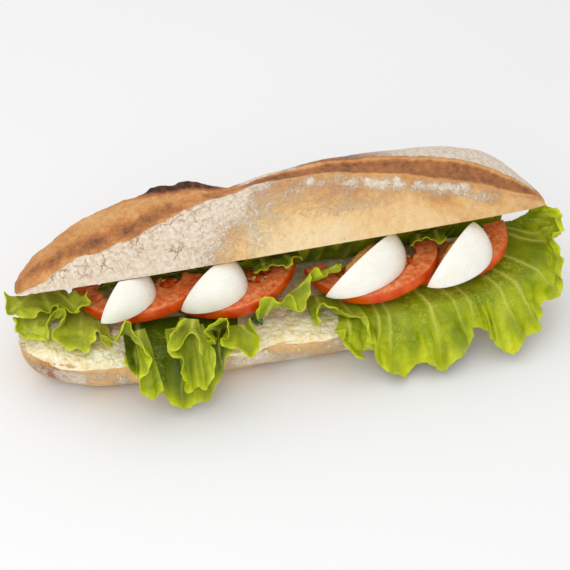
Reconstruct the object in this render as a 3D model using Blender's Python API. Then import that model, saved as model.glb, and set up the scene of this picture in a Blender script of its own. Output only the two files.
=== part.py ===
"""Long crusty sandwich: two bread halves filled with spread, salad leaves, tomato and egg."""
import math

import bpy
import numpy as np
from mathutils import Vector
from mathutils.bvhtree import BVHTree

# All sizes below are in millimetres; MM turns them into metres.
MM = 0.001

# Bread
HALF_LENGTH = 147.0
TOP_HALF_WIDTH = 37.0
TOP_SECTION = 2.3
TOP_TILT = math.radians(33.0)
TOP_PITCH = math.radians(-2.6)
TOP_YAW = math.radians(-1.5)
TOP_CENTRE = (1.7, 16.0, 46.4)
TOP_STATIONS = (-147, -138, -120, -100, -80, -60, -35, -10, 20, 50, 80, 100, 120, 135, 144, 147)
TOP_HEIGHTS = (5, 15, 25.7, 35.2, 39.5, 40.4, 38.6, 39.8, 43.4, 44, 42.2, 39.6, 31.5, 17, 7, 3)
BASE_HALF_WIDTH = 38.5
BASE_CUT = 25.5
BASE_DROP = 29.7
BASE_SECTION = 2.1
BASE_YAW = math.radians(1.0)
BASE_SHIFT = 0.8

# Filling, from the bottom up
GAP = 0.35
ROOF_GAP = 0.5
SPREAD_TOP = 30.4
SPREAD_HALF_WIDTH = 35.5
SPREAD_HALF_LENGTH = 143.0
TOMATO_THICK = 6.6
YOLK_RADIUS = 12.5
LEAF_THICK = 0.8
LEAF_CLEAR = 1.3
LEAF_STACK = 0.5
LEAF_FLOOR = 2.6


def smooth_step(low, high, value):
    """Rises smoothly from 0 at low to 1 at high."""
    t = np.clip((value - low) / (high - low), 0.0, 1.0)
    return t * t * (3.0 - 2.0 * t)


def spline(points, t):
    """Catmull-Rom curve through the guide points, t from 0 to 1."""
    guide = np.asarray(points, dtype=float)
    guide = np.vstack((2 * guide[0] - guide[1], guide, 2 * guide[-1] - guide[-2]))
    spans = len(guide) - 3
    place = np.clip(np.asarray(t, dtype=float), 0.0, 1.0) * spans
    index = np.minimum(place.astype(int), spans - 1)
    f = (place - index)[..., None]
    a, b, c, d = (guide[index + k] for k in range(4))
    return 0.5 * (2 * b + (c - a) * f + (2 * a - 5 * b + 4 * c - d) * f ** 2
                  + (3 * b - a - 3 * c + d) * f ** 3)


def profile(x, stations, values):
    """Smooth curve through values given at uneven stations, flat-ended between neighbours."""
    xs = np.asarray(stations, dtype=float)
    ys = np.asarray(values, dtype=float)
    slope = np.gradient(ys, xs)
    x = np.clip(x, xs[0], xs[-1])
    k = np.clip(np.searchsorted(xs, x) - 1, 0, len(xs) - 2)
    span = xs[k + 1] - xs[k]
    t = (x - xs[k]) / span
    return ((2 * t ** 3 - 3 * t ** 2 + 1) * ys[k] + (t ** 3 - 2 * t ** 2 + t) * span * slope[k]
            + (3 * t ** 2 - 2 * t ** 3) * ys[k + 1] + (t ** 3 - t ** 2) * span * slope[k + 1])


def lumps(x, y, size, seed):
    """Soft uneven swelling between -1 and 1, the same every time for one seed."""
    draw = np.random.default_rng(seed)
    total = 0.0
    for _ in range(7):
        angle = draw.uniform(0, 2 * math.pi)
        wave = 2 * math.pi / (size * draw.uniform(0.7, 1.6))
        total = total + np.sin((x * math.cos(angle) + y * math.sin(angle)) * wave
                               + draw.uniform(0, 2 * math.pi))
    return total / 4.0


def rotation(yaw, pitch, tilt):
    ct, st = math.cos(tilt), math.sin(tilt)
    cp, sp = math.cos(pitch), math.sin(pitch)
    cy, sy = math.cos(yaw), math.sin(yaw)
    about_x = np.array(((1, 0, 0), (0, ct, st), (0, -st, ct)))
    about_y = np.array(((cp, 0, sp), (0, 1, 0), (-sp, 0, cp)))
    about_z = np.array(((cy, -sy, 0), (sy, cy, 0), (0, 0, 1)))
    return about_z @ about_y @ about_x


TOP_TURN = rotation(TOP_YAW, TOP_PITCH, TOP_TILT)


def plan_width(x, half_length, half_width):
    return half_width * np.clip(1 - np.abs(x / half_length) ** 4, 0, 1) ** (1 / 2.2)


def end_spacing(count, half_length):
    """Stations along the loaf, closer together at its two ends."""
    t = np.linspace(-1, 1, count)
    return half_length * np.sin(t * math.pi / 2) * 0.55 + half_length * t * 0.45


# The slashes of the crust. Each curve gives the place round the section, 0 at the front
# edge and 1 at the back edge, for stations along the loaf.
SKIN_STATIONS = (-147, -135, -119, -97, -80, -64, -45, -30, -15)
SKIN_EDGE = (0.02, 0.05, 0.13, 0.14, 0.16, 0.21, 0.29, 0.33, 0.35)
BAND_STATIONS = (-24, -9, 12, 43, 64, 85, 106, 121, 139)
BAND_UPPER = (0.43, 0.45, 0.41, 0.36, 0.33, 0.29, 0.24, 0.20, 0.18)
BAND_LOWER = (0.37, 0.38, 0.34, 0.27, 0.23, 0.18, 0.14, 0.11, 0.12)


def top_relief(x, a):
    """How far the crust stands out (mm) at station x and place a round the section."""
    edge = profile(x, SKIN_STATIONS, SKIN_EDGE)
    left = 1 - smooth_step(-30, 0, x)
    opened = smooth_step(0.0, 0.05, a - edge) * left * smooth_step(-146, -120, x)
    sunk = opened * (1 - smooth_step(0.0, 0.3, a - edge - 0.12))
    upper = profile(x, BAND_STATIONS, BAND_UPPER)
    lower = profile(x, BAND_STATIONS, BAND_LOWER)
    along = smooth_step(-30, 10, x) * (1 - smooth_step(125, 142, x))
    middle = (upper + lower) / 2
    half = np.maximum((upper - lower) / 2, 0.02)
    groove = np.exp(-((a - middle) / half) ** 4) * along
    lip = np.exp(-((a - upper - 0.03) / 0.035) ** 2) * along
    ear = np.exp(-((a - 0.47) / 0.04) ** 2) * np.exp(-((x + 53) / 18) ** 4)
    uneven = lumps(x, a * 60, 38, 3) * 0.55
    return -1.2 * sunk - 1.3 * groove + 0.9 * lip + 2.2 * ear + uneven


def top_surface(x, a):
    """Crust of the upper half in the bread's own frame, cut face on z = 0."""
    turn = a * math.pi
    cy = -np.sign(np.cos(turn)) * np.abs(np.cos(turn)) ** (2 / TOP_SECTION)
    cz = np.abs(np.sin(turn)) ** (2 / TOP_SECTION)
    w = np.maximum(plan_width(x, HALF_LENGTH, TOP_HALF_WIDTH), 0.6)
    h = profile(x, TOP_STATIONS, TOP_HEIGHTS)
    fade = smooth_step(0.02, 0.14, a) * (1 - smooth_step(0.86, 0.98, a))
    fade = fade * smooth_step(1.0, 12.0, HALF_LENGTH - np.abs(x))
    out = top_relief(x, a) * fade
    length = np.hypot(cy * h, cz * w) + 1e-9
    ny = cy * h / length
    nz = cz * w / length
    return np.stack((x + 0 * a, w * cy + out * ny, np.maximum(h * cz + out * nz, 0)), -1)


def roof_height(x, y):
    """Height of the upper bread's cut face above a place on the table."""
    normal = TOP_TURN[:, 2]
    cx, cy, cz = TOP_CENTRE
    return cz - (normal[0] * (x - cx) + normal[1] * (y - cy)) / normal[2]


def top_place(points):
    """From the upper bread's own frame to the sandwich's."""
    return np.asarray(points) @ TOP_TURN.T + np.array(TOP_CENTRE)


def base_place(points):
    """From the lower bread's own frame to the sandwich's, a slight turn and shift."""
    points = np.asarray(points, dtype=float)
    c, n = math.cos(BASE_YAW), math.sin(BASE_YAW)
    x, y = points[..., 0], points[..., 1]
    return np.stack((x * c - y * n, x * n + y * c + BASE_SHIFT, points[..., 2]), -1)


def base_local(points):
    c, n = math.cos(BASE_YAW), math.sin(BASE_YAW)
    x, y = points[..., 0], points[..., 1] - BASE_SHIFT
    return np.stack((x * c + y * n, y * c - x * n, points[..., 2]), -1)


def base_surface(x, a):
    """Crust of the lower half: a runs from the front cut edge under to the back cut edge."""
    turn = a * math.pi
    cy = -np.sign(np.cos(turn)) * np.abs(np.cos(turn)) ** (2 / BASE_SECTION)
    cz = np.abs(np.sin(turn)) ** (2 / BASE_SECTION)
    w = np.maximum(plan_width(x, HALF_LENGTH, BASE_HALF_WIDTH), 0.6)
    drop = BASE_DROP * np.clip(1 - np.abs(x / (HALF_LENGTH + 0.5)) ** 7, 0, 1) ** (1 / 2.4)
    fade = smooth_step(0.02, 0.12, a) * (1 - smooth_step(0.88, 0.98, a))
    out = lumps(x, a * 60, 42, 8) * 0.6 * fade * smooth_step(1.0, 12.0, HALF_LENGTH - np.abs(x))
    z = BASE_CUT - drop * cz
    return base_place(np.stack((x + 0 * a, (w + out) * cy, np.maximum(z, 0)), -1))


def spread_top(x, y):
    """Height of the lumpy spread over the lower bread."""
    return SPREAD_TOP + 0.55 * lumps(x, y, 14, 21) + 0.35 * lumps(x, y, 8, 22)


def spread_surface(x, a):
    """Spread: a runs from the front lower edge over the top to the back lower edge."""
    turn = a * math.pi
    cy = -np.sign(np.cos(turn)) * np.abs(np.cos(turn)) ** (2 / 3.2)
    cz = np.abs(np.sin(turn)) ** (2 / 3.6)
    w = np.maximum(plan_width(x, SPREAD_HALF_LENGTH, SPREAD_HALF_WIDTH), 0.6)
    w = w + 0.8 * lumps(x, 0 * a, 11, 5) * smooth_step(2, 20, w)
    y = w * cy
    low = BASE_CUT + GAP
    ends = smooth_step(0, 9, SPREAD_HALF_LENGTH - np.abs(x))
    height = (spread_top(x, y) - low) * (0.35 + 0.65 * ends)
    return base_place(np.stack((x + 0 * a, y, low + height * cz), -1))


# Tomato half-slices, left to right: middle of the cut (x, y, z), radius, how far each rises
# toward its right end and drops toward its back (degrees), and where its arc starts and ends.
TOMATOES = (
    ((-79.0, 15.0, 43.0), 37.0, 7.5, 1.0, 0.0, 0.85),
    ((-33.0, 8.5, 42.0), 37.0, 8.0, 1.0, 0.0, 1.0),
    ((44.7, 0.8, 43.6), 37.0, 6.5, 0.0, 0.0, 1.0),
    ((88.0, 9.0, 41.5), 37.0, 7.0, 0.0, 0.19, 1.0),
)
TOMATO_WALL = 11.5
TOMATO_SPOKE = 0.13


def tomato_frame(slice_data):
    middle, radius, end_rise, back_drop = slice_data[:4]
    return rotation(0.0, -math.radians(end_rise), math.radians(back_drop)), np.array(middle)


def tomato_outline(radius, a, seed):
    """Outer and inner radius of the half-slice at a, from 0 at one cut end to 1 at the other."""
    angle = a * math.pi
    outer = radius * (1 + 0.012 * np.cos(3 * angle + seed) + 0.01 * np.cos(5 * angle + 2 * seed))
    wall = TOMATO_WALL * (1 + 0.08 * np.sin(4 * angle + seed))
    spoke = np.exp(-((a - 0.5) / TOMATO_SPOKE) ** 4)
    ends = np.exp(-((a - a[0]) / 0.045) ** 2) + np.exp(-((a[-1] - a) / 0.045) ** 2)
    inner = (outer - wall) * (1 - 0.8 * np.clip(spoke, 0, 1)) - 1.2 * ends
    return outer, inner


def tomato_rings(slice_data, seed, around):
    """Sections of the half-slice's wall, one ring of points for each place round it."""
    radius = slice_data[1]
    frame, middle = tomato_frame(slice_data)
    a = np.linspace(slice_data[4], slice_data[5], around)
    outer, inner = tomato_outline(radius, a, seed)
    half = TOMATO_THICK / 2
    section = ((0.0, -1.0), (0.86, -1.0), (0.965, -0.62), (1.0, 0.0), (0.965, 0.62), (0.86, 1.0), (0.0, 1.0))
    rings = []
    for k in range(around):
        angle = math.pi + a[k] * math.pi
        ring = []
        for reach, height in section:
            r = inner[k] + (outer[k] - inner[k]) * reach if reach < 0.5 else outer[k] - (1 - reach) * 9.0
            ring.append((r * math.cos(angle), r * math.sin(angle), height * half))
        rings.append(np.array(ring) @ frame.T + middle)
    return rings


# Egg wedges lie on the tomato below them. Each has its pointed tip (x, y) on that slice,
# the heading of its long edge, its length, its half-width and its lean (degrees).
EGGS = (
    ((-26.3, -36.2), 48.0, 39.5, 17.0, 15.0),
    ((-30.1, -27.4), 32.0, 41.0, 19.5, 20.0),
    ((-32.4, -28.3), 34.5, 56.5, 21.5, 30.0),
    ((-21.0, -40.5), 43.0, 51.0, 21.0, 22.0),
)
YOLK_PLACE = 0.56
YOLK_BULGE = (1.2, 1.2, 3.2, 1.4)


def egg_frame(index):
    """Tip of the wedge and its axes: along the long edge, up, and out across its base."""
    (x, y), heading = EGGS[index][:2]
    frame, middle = tomato_frame(TOMATOES[index])
    yaw = math.radians(heading)
    along = frame @ np.array((math.cos(yaw), math.sin(yaw), 0.0))
    side = frame @ np.array((math.sin(yaw), -math.cos(yaw), 0.0))
    up = frame @ np.array((0.0, 0.0, 1.0))
    start = middle + frame @ np.array((x, y, TOMATO_THICK / 2 + GAP))
    return start, along, up, side


def under_roof(point):
    """Presses a point of the egg down under the cut face of the upper bread."""
    point = np.array(point, dtype=float)
    point[2] = min(point[2], roof_height(point[0], point[1]) - ROOF_GAP)
    return point


def egg_radius(t):
    """Half-width of the egg as a share of the largest, t from -1 at the tip to 1 at the blunt end."""
    return np.sqrt(np.clip(1 - t ** 2, 0, 1)) * (1 + 0.13 * t - 0.03 * t ** 2)


# Leaves from left to right. Each has the two ends of its root line between the layers, the
# guide points of its frilled rim, and the count and depth of its fine ruffles and pleats.
LEAVES = {
    "lettuce_8": dict(
        root=((24, -10, 33.0), (129, 24, 36.0)),
        rim=((15, -43, 31), (18, -47, 24), (24, -49, 16), (30, -47, 17), (35, -47, 15), (36, -51, 10),
             (42, -54, 6), (51, -56, 4), (56, -54, 9), (63, -55, 9), (69, -58, 5), (76, -55, 8),
             (84, -51, 9), (88, -48, 14), (90, -45, 19), (95, -45, 19), (100, -48, 15), (103, -53, 9),
             (109, -55, 6), (116, -51, 11), (124, -49, 11), (129, -44, 15), (133, -36, 21), (140, -34, 23),
             (146, -30, 26), (147, -24, 30), (151, -17, 34), (148, -9, 41), (155, -2, 44), (159, 7, 47),
             (155, 13, 50), (147, 18, 49.5)),
        ruffles=13, depth=1.5, pleats=10, size=(48, 6)),
    "lettuce_6": dict(
        root=((-25, -29.5, 36), (10, -11, 47)),
        rim=((-26, -34, 42), (-25, -32, 48), (-22, -31, 53), (-17, -32, 51), (-12, -32, 47), (-7, -29, 48),
             (-5, -30, 44), (-3, -32, 40), (1, -30, 39), (3, -27, 43), (6, -24, 46), (6, -21, 50), (7, -19, 54),
             (11, -16, 55), (13, -18, 52), (16, -19, 50), (18, -15, 53), (22, -13, 53), (24, -16, 50),
             (25, -12, 52)),
        standing=0.9, ruffles=5, depth=0.0, pleats=0, size=(31, 4)),
    "lettuce_7": dict(
        root=((4, -14, 34.6), (26, -16, 35.2)),
        rim=((3, -38, 34), (6, -38, 39), (11, -36, 43), (18, -38, 43), (24, -43, 38), (30, -48, 32),
             (35, -52, 26)),
        folds=(2.2, 3.8, 0.9, 0.15), ruffles=5, depth=0.0, pleats=0, size=(24, 6)),
    "lettuce_2": dict(
        root=((-136, 14, 32.8), (-101, 6, 32.8)),
        rim=((-148, 4, 37), (-148, -5, 33), (-141, -14, 33), (-136, -13, 34), (-132, -19, 34),
             (-133, -10, 36), (-133, -4, 39), (-126, -3, 41), (-122, -8, 41), (-130, -12, 38),
             (-131, -16, 36), (-127, -23, 34), (-121, -29, 34), (-115, -31, 34), (-111, -25, 37),
             (-108, -22, 38), (-106, -26, 37), (-104, -30, 35), (-101, -30, 34)),
        ruffles=7, depth=1.0, pleats=3, size=(34, 5)),
    "lettuce_1": dict(
        root=((-121, 25, 35.0), (-139, 23, 34.8)), rise=0.35,
        rim=((-108, -1, 49), (-110, -7, 46.5), (-114, -10, 44), (-118, -7, 43), (-121, -2, 40.5),
             (-125, 1, 41), (-131, 2, 39.5), (-137, 0, 38), (-143, 1, 37.5), (-148, 4, 39), (-152, 8, 43),
             (-153, 13, 49)),
        ruffles=9, depth=0.9, pleats=3, size=(20, 4)),
    "lettuce_4": dict(
        root=((-94, -12, 33.0), (-32, -12, 33.2)),
        rim=((-96, -39, 33), (-95, -43, 29), (-92, -47, 25), (-87, -50, 21), (-81, -52, 16), (-77, -53, 11),
             (-74, -53, 7), (-69, -53, 5), (-62, -53, 7), (-57, -52, 9), (-52, -51, 11), (-49, -48, 17),
             (-46, -44, 26), (-38, -40, 32)),
        folds=(2.4, 1.4, 0.0, 0.2), ruffles=6, depth=0.0, pleats=0, size=(26, 5)),
    "lettuce_3": dict(
        root=((-101, -27, 38.0), (-84, -27, 40.5)),
        rim=((-108, -38, 49), (-105, -41, 47), (-102, -43, 47), (-99, -43, 52), (-97, -41, 59),
             (-94, -40, 59), (-92, -40, 53), (-90, -43, 47), (-87, -48, 42.5), (-84.5, -52, 38.5),
             (-88, -55, 35), (-92, -57, 31), (-93, -58, 25), (-90, -58, 19), (-85, -57, 18), (-80.5, -57, 23)),
        standing=0.9, ruffles=6, depth=0.0, pleats=0, size=(34, 6)),
    "lettuce_5": dict(
        root=((-74, -29, 39.4), (-54, -29, 39.0)),
        rim=((-76, -48, 40.5), (-74, -53, 40), (-70.5, -56, 38.5), (-71.5, -58, 35), (-71.5, -58, 31), (-69, -58, 26),
             (-72, -59, 23), (-67, -58, 19), (-63, -59, 23), (-59, -58, 19), (-55, -58, 25), (-53, -54, 30),
             (-53, -50, 36)),
        standing=0.9, ruffles=4, depth=0.0, pleats=0, size=(30, 5)),
    "lettuce_12": dict(
        root=((-66, -28, 44.5), (-56, -28, 41.5)),
        rim=((-65, -38, 50), (-72, -44, 50), (-76, -49, 48), (-75, -52, 44), (-70, -51, 43), (-67, -48, 45),
             (-63, -46, 46), (-61, -49, 44), (-59, -53, 38)),
        standing=0.9, ruffles=4, depth=0.0, pleats=0, size=(24, 5)),
    "lettuce_13": dict(
        root=((-50, -30, 36.0), (-31, -30, 35.5)),
        rim=((-50, -43, 36), (-54, -46, 43), (-57, -46, 48), (-54, -43, 50), (-49, -40, 49), (-43, -39, 49),
             (-42, -43, 46), (-45, -47, 43), (-48, -45, 40), (-46, -48, 37), (-40, -50, 36), (-35, -53, 31),
             (-32, -53, 33), (-29, -49, 39), (-31, -45, 45), (-32, -41, 48)),
        standing=0.9, ruffles=4, depth=0.0, pleats=0, size=(34, 5)),
    "lettuce_9": dict(
        root=((-20, 4, 50.0), (4, 4, 52.0)), rise=0.5,
        rim=((-22, -9, 52), (-17, -12, 54), (-11, -11, 56), (-5, -12, 55), (1, -10, 57), (5, -7, 56)),
        ruffles=5, depth=0.6, pleats=2, size=(10, 3)),
    "lettuce_10": dict(
        root=((68, 2, 52.5), (86, 2, 54.0)), rise=0.5,
        rim=((64, -9, 54), (69, -11, 56), (74, -10, 57), (79, -12, 55), (84, -9, 57)),
        ruffles=4, depth=0.6, pleats=2, size=(10, 3)),
    "lettuce_11": dict(
        root=((-98, 27, 33.4), (121, 25, 40.5)), rise=0.0, sag=(0.8, 6.5),
        rim=((-103, 21, 36), (-88, 21, 37), (-70, 20, 38), (-52, 19, 39.5), (-38, 16, 42), (-20, 13, 46),
             (0, 12, 47.5), (20, 11, 49), (40, 9, 51), (60, 11, 50.5), (80, 13, 50), (96, 14, 50.5),
             (106, 15, 50.5), (117, 16, 49), (128, 18, 47.5)),
        ruffles=12, depth=0.7, pleats=7, size=(26, 3)),
}
OUTSIDE = np.array((0.0, -0.55, 0.83))


def sheet_check(points):
    """Distance to a leaf already laid, counted from its upper, outer side."""
    columns, rows = points.shape[0] - 1, points.shape[1] - 1
    tree = BVHTree.FromPolygons([tuple(p) for p in points.reshape(-1, 3)], grid_faces(columns, rows))

    def distance(queries):
        out = np.full(len(queries.reshape(-1, 3)), 9.0)
        for k, query in enumerate(queries.reshape(-1, 3)):
            place, normal, _, near = tree.find_nearest(tuple(query), 4.0)
            if place is None:
                continue
            sign = 1.0 if np.dot(normal, OUTSIDE) > 0 else -1.0
            side = sign * (Vector(query) - place).dot(normal)
            if near > 0 and abs(side) > 0.55 * near:
                level = near if side > 0 else -near
                out[k] = level if level > -2.4 else 9.0
        return (out - LEAF_STACK).reshape(queries.shape[:-1])

    return distance


def lay_leaves(detail=1):
    """All leaf sheets, each pushed clear of the filling and of the leaves laid before it."""
    solids = solid_distances()
    laid = []
    sheets = {}
    for name, leaf in LEAVES.items():
        columns, rows = leaf["size"]
        sheet = leaf_sheet(leaf, columns * detail, rows * detail, solids + laid)
        sheets[name] = sheet
        laid.append(sheet_check(sheet))
    return sheets


def rim_parts(leaf, u):
    """The rim as a calm line and the tight folds that lie on it."""
    fine = np.linspace(0, 1, 241)
    line = spline(leaf["rim"], fine)
    reach = np.arange(-40, 41)
    weight = np.exp(-(reach / 17.0) ** 2)
    weight /= weight.sum()
    padded = np.vstack((2 * line[0] - line[40:0:-1], line, 2 * line[-1] - line[-2:-42:-1]))
    calm = np.stack([np.convolve(padded[:, k], weight, mode="valid") for k in range(3)], -1)
    low = np.stack([np.interp(u, fine, calm[:, k]) for k in range(3)], -1)
    return low, spline(leaf["rim"], u) - low


def lip_share(root, rim):
    """Share of the way from root to rim at which a leaf passes the edge of the filling."""
    share = np.linspace(0.2, 0.95, 40)
    line = root[:, None] + (rim - root)[:, None] * share[None, :, None]
    local = base_local(line)
    w = plan_width(local[..., 0], SPREAD_HALF_LENGTH, SPREAD_HALF_WIDTH)
    past = np.abs(local[..., 1]) > w + 1.4
    first = np.where(past.any(axis=1) & ~past[:, 0], share[past.argmax(axis=1)], 0.5)
    return np.clip(first, 0.2, 0.8)


def leaf_sheet(leaf, columns, rows, checks, clear=LEAF_CLEAR):
    """Middle surface of a leaf: rows from the root line to the rim, columns along it."""
    u = np.linspace(0, 1, columns + 1)
    v = np.linspace(0, 1, rows + 1)
    first, last = (np.array(end, dtype=float) for end in leaf["root"])
    root = first + (last - first) * u[:, None]
    calm, folds = rim_parts(leaf, u)
    if "folds" in leaf or "standing" in leaf:
        calm, folds = spline(leaf["rim"], u), 0 * calm
    share = lip_share(root, calm)[:, None]
    lip = root + (calm - root) * share
    lip[:, 2] = root[:, 2] + leaf.get("rise", 0.1) * np.maximum(calm[:, 2] - root[:, 2], 0)
    if "sag" in leaf:
        lip[:, 2] -= leaf["sag"][0] + (leaf["sag"][1] - leaf["sag"][0]) * u
    if "standing" in leaf:
        climb = calm[:, 2] - root[:, 2]
        lip[:, 2] = root[:, 2] + share[:, 0] * np.where(climb > 0, leaf["standing"] * climb, 0.4 * climb)
    bend = 0.28
    rest = np.clip((v - bend) / (1 - bend), 0, 1)[None, :, None]
    inner = np.clip(v / bend, 0, 1)[None, :, None]
    turn = lip + (calm - lip) * 0.45
    turn[:, 2] = lip[:, 2] + (0.12 + 0.25 * ("standing" in leaf)) * (calm[:, 2] - lip[:, 2])
    flat = root[:, None] + (lip - root)[:, None] * inner
    outer = (lip[:, None] * (1 - rest) ** 2 + 2 * turn[:, None] * rest * (1 - rest)
             + calm[:, None] * rest ** 2)
    points = np.where(v[None, :, None] < bend, flat, outer)
    points = points + folds[:, None] * rest ** 1.9
    normal = sheet_normals(points)
    grown = rest[..., 0]
    wave = np.sin(2 * math.pi * leaf["ruffles"] * u)[:, None] * leaf["depth"] * grown ** 2
    pleat = np.sin(2 * math.pi * leaf["pleats"] * u[:, None] + 2.0 * v[None, :]) * np.sin(math.pi * grown)
    points = points + normal * (wave + 0.9 * pleat * (leaf["pleats"] > 0))[:, :, None]
    if "folds" in leaf:
        points = points + meander(leaf, points, u, grown)
    return push_clear(points, checks, clear)


def meander(leaf, points, u, grown):
    """Deep folds that swing out and back and lean over sideways, growing toward the rim."""
    count, depth, overhang, start = leaf["folds"]
    turn = 2 * math.pi * (count * u + start + 0.08 * np.sin(7.0 * u))
    along = np.gradient(points, axis=0)
    along /= np.linalg.norm(along, axis=-1, keepdims=True) + 1e-9
    share = grown[..., None] ** 1.3
    ends = np.minimum(1.0, np.minimum(u, 1 - u) / 0.08)[:, None, None]
    swing = np.sin(turn)[:, None, None] * depth
    lean = np.sin(2 * turn)[:, None, None] * overhang * ends
    return (sheet_normals(points) * swing + along * lean) * share


def sheet_normals(points):
    across = np.gradient(points, axis=0)
    along = np.gradient(points, axis=1)
    normal = np.cross(across, along)
    normal /= np.linalg.norm(normal, axis=-1, keepdims=True) + 1e-9
    return normal


def loaf_distance(points, width, drop, section, cut):
    """Rough distance outside the lower loaf or a layer shaped like it."""
    x, y, z = points[..., 0], points[..., 1], points[..., 2]
    w = np.maximum(width(x), 0.5)
    below = np.maximum(cut - z, 0)
    shape = np.abs(y / w) ** section + np.abs(below / drop) ** section
    side = (shape ** (1 / section) - 1) * np.minimum(w, 40)
    end = np.abs(x) - HALF_LENGTH
    return np.maximum(np.maximum(side, z - cut), end)


def base_distance(points):
    return loaf_distance(base_local(points), lambda x: plan_width(x, HALF_LENGTH, BASE_HALF_WIDTH + 0.6),
                         BASE_DROP, BASE_SECTION, BASE_CUT)


def spread_distance(points):
    local = base_local(points)
    x, y, z = local[..., 0], local[..., 1], local[..., 2]
    w = np.maximum(plan_width(x, SPREAD_HALF_LENGTH, SPREAD_HALF_WIDTH + 0.8), 0.5)
    side = np.abs(y) - w
    top = z - (SPREAD_TOP + 1.1)
    outside = np.hypot(np.maximum(side, 0), np.maximum(top, 0))
    return np.where((side > 0) & (top > 0), outside, np.maximum(side, top))


def top_distance(points):
    local = (points - np.array(TOP_CENTRE)) @ TOP_TURN
    x, y, z = local[..., 0], local[..., 1], local[..., 2]
    w = np.maximum(plan_width(x, HALF_LENGTH, TOP_HALF_WIDTH + 0.8), 0.5)
    h = profile(x, TOP_STATIONS, TOP_HEIGHTS) + 1.0
    shape = np.abs(y / w) ** TOP_SECTION + np.abs(np.maximum(z, 0) / h) ** TOP_SECTION
    side = (shape ** (1 / TOP_SECTION) - 1) * np.minimum(w, h)
    end = np.abs(x) - HALF_LENGTH
    return np.maximum(np.maximum(side, -z), end)


def tomato_distance(points, slice_data):
    frame, middle = tomato_frame(slice_data)
    local = (points - middle) @ frame
    reach = np.hypot(local[..., 0], local[..., 1]) - slice_data[1] * 1.02
    high = np.abs(local[..., 2]) - TOMATO_THICK / 2
    back = local[..., 1] - 0.3
    out = np.maximum(reach, back)
    outside = np.hypot(np.maximum(out, 0), np.maximum(high, 0))
    return np.where((out > 0) & (high > 0), outside, np.maximum(out, high))


def egg_distance(points, index):
    start, along, up, side = egg_frame(index)
    length, half_width, lean = EGGS[index][2:5]
    local = points - start
    s = local @ along - length / 2
    p = local @ up
    q = local @ side
    radius = half_width * egg_radius(np.clip(s / (length / 2), -1, 1))
    over = np.maximum(np.abs(s) - length / 2, 0)
    reach = np.hypot(np.hypot(np.maximum(p, 0), np.maximum(q, 0)), over) - radius
    tip = math.radians(lean)
    face = p * math.sin(tip) - q * math.cos(tip)
    return np.maximum(np.maximum(reach, -p), face)


def solid_distances():
    """One distance function for each thing a leaf has to keep clear of."""
    checks = [base_distance, spread_distance, top_distance]
    for slice_data in TOMATOES:
        checks.append(lambda pts, data=slice_data: tomato_distance(pts, data))
    for index in range(len(EGGS)):
        checks.append(lambda pts, k=index: egg_distance(pts, k))
    return checks


def push_clear(points, checks, clear, rounds=8):
    """Moves points straight out of whatever they are too close to."""
    step = 0.05
    axes = np.eye(3) * step
    for _ in range(rounds):
        for check in checks:
            near = check(points)
            need = near < clear
            if not need.any():
                continue
            close = points[need]
            slope = np.stack([check(close + axis) - check(close - axis) for axis in axes], -1)
            slope = np.where(np.abs(slope) > 4 * step, 0.0, slope)
            slope /= 2 * step
            size = np.linalg.norm(slope, axis=-1, keepdims=True) + 1e-6
            move = (clear - near[need])[..., None] * slope / size / np.maximum(size, 0.7)
            points[need] = close + np.clip(move, -2.0, 2.0)
        points[..., 2] = np.maximum(points[..., 2], LEAF_FLOOR)
    return points


def grid_faces(columns, rows, offset=0, flip=False):
    """Triangles of a grid of points, all quads cut the same way."""
    faces = []
    for i in range(columns):
        for j in range(rows):
            a = offset + i * (rows + 1) + j
            b = a + rows + 1
            pair = ((a, b, b + 1), (a, b + 1, a + 1))
            for face in pair:
                faces.append(face[::-1] if flip else face)
    return faces


def leaf_solid(middle, thick):
    """Thin closed leaf round a sheet of points."""
    columns, rows = middle.shape[0] - 1, middle.shape[1] - 1
    normal = sheet_normals(middle)
    normal = smooth_rows(normal)
    edge = np.ones(middle.shape[:2])
    edge[:, -1] = 0.6
    half = (normal * thick / 2) * edge[:, :, None]
    points = np.concatenate(((middle + half).reshape(-1, 3), (middle - half).reshape(-1, 3)))
    count = (columns + 1) * (rows + 1)
    faces = grid_faces(columns, rows) + grid_faces(columns, rows, count, True)
    border = ([i * (rows + 1) for i in range(columns + 1)]
              + [columns * (rows + 1) + j for j in range(1, rows + 1)]
              + [i * (rows + 1) + rows for i in range(columns - 1, -1, -1)]
              + [j for j in range(rows - 1, 0, -1)])
    for a, b in zip(border, border[1:] + border[:1]):
        faces.append((b, a, a + count))
        faces.append((b, a + count, b + count))
    return points, faces


def smooth_rows(field):
    """Evens the leaf's normals a little so that the sheet doesn't pinch at its folds."""
    out = field.copy()
    out[1:-1] = (field[:-2] + 2 * field[1:-1] + field[2:]) / 4
    out /= np.linalg.norm(out, axis=-1, keepdims=True) + 1e-9
    return out


def skin(rings, first=None, last=None):
    """Closed skin through rings of points; an end without a pole is shut with a flat face."""
    size = len(rings[0])
    points = [p for ring in rings for p in ring]
    faces = []
    for k in range(len(rings) - 1):
        for j in range(size):
            a = k * size + j
            b = k * size + (j + 1) % size
            faces.append((a, a + size, b + size, b))
    for pole, ring, flip in ((first, 0, False), (last, len(rings) - 1, True)):
        loop = [ring * size + j for j in range(size)]
        if pole is None:
            faces.append(tuple(loop) if not flip else tuple(reversed(loop)))
            continue
        points.append(pole)
        tip = len(points) - 1
        for a, b in zip(loop, loop[1:] + loop[:1]):
            faces.append((b, a, tip) if flip else (a, b, tip))
    return points, faces


def outward(mesh):
    """Turns every face outward when the skin was laid inside out."""
    volume = 0.0
    for face in mesh.polygons:
        corners = [mesh.vertices[k].co for k in face.vertices]
        for k in range(1, len(corners) - 1):
            volume += corners[0].dot(corners[k].cross(corners[k + 1]))
    if volume < 0:
        mesh.flip_normals()


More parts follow.
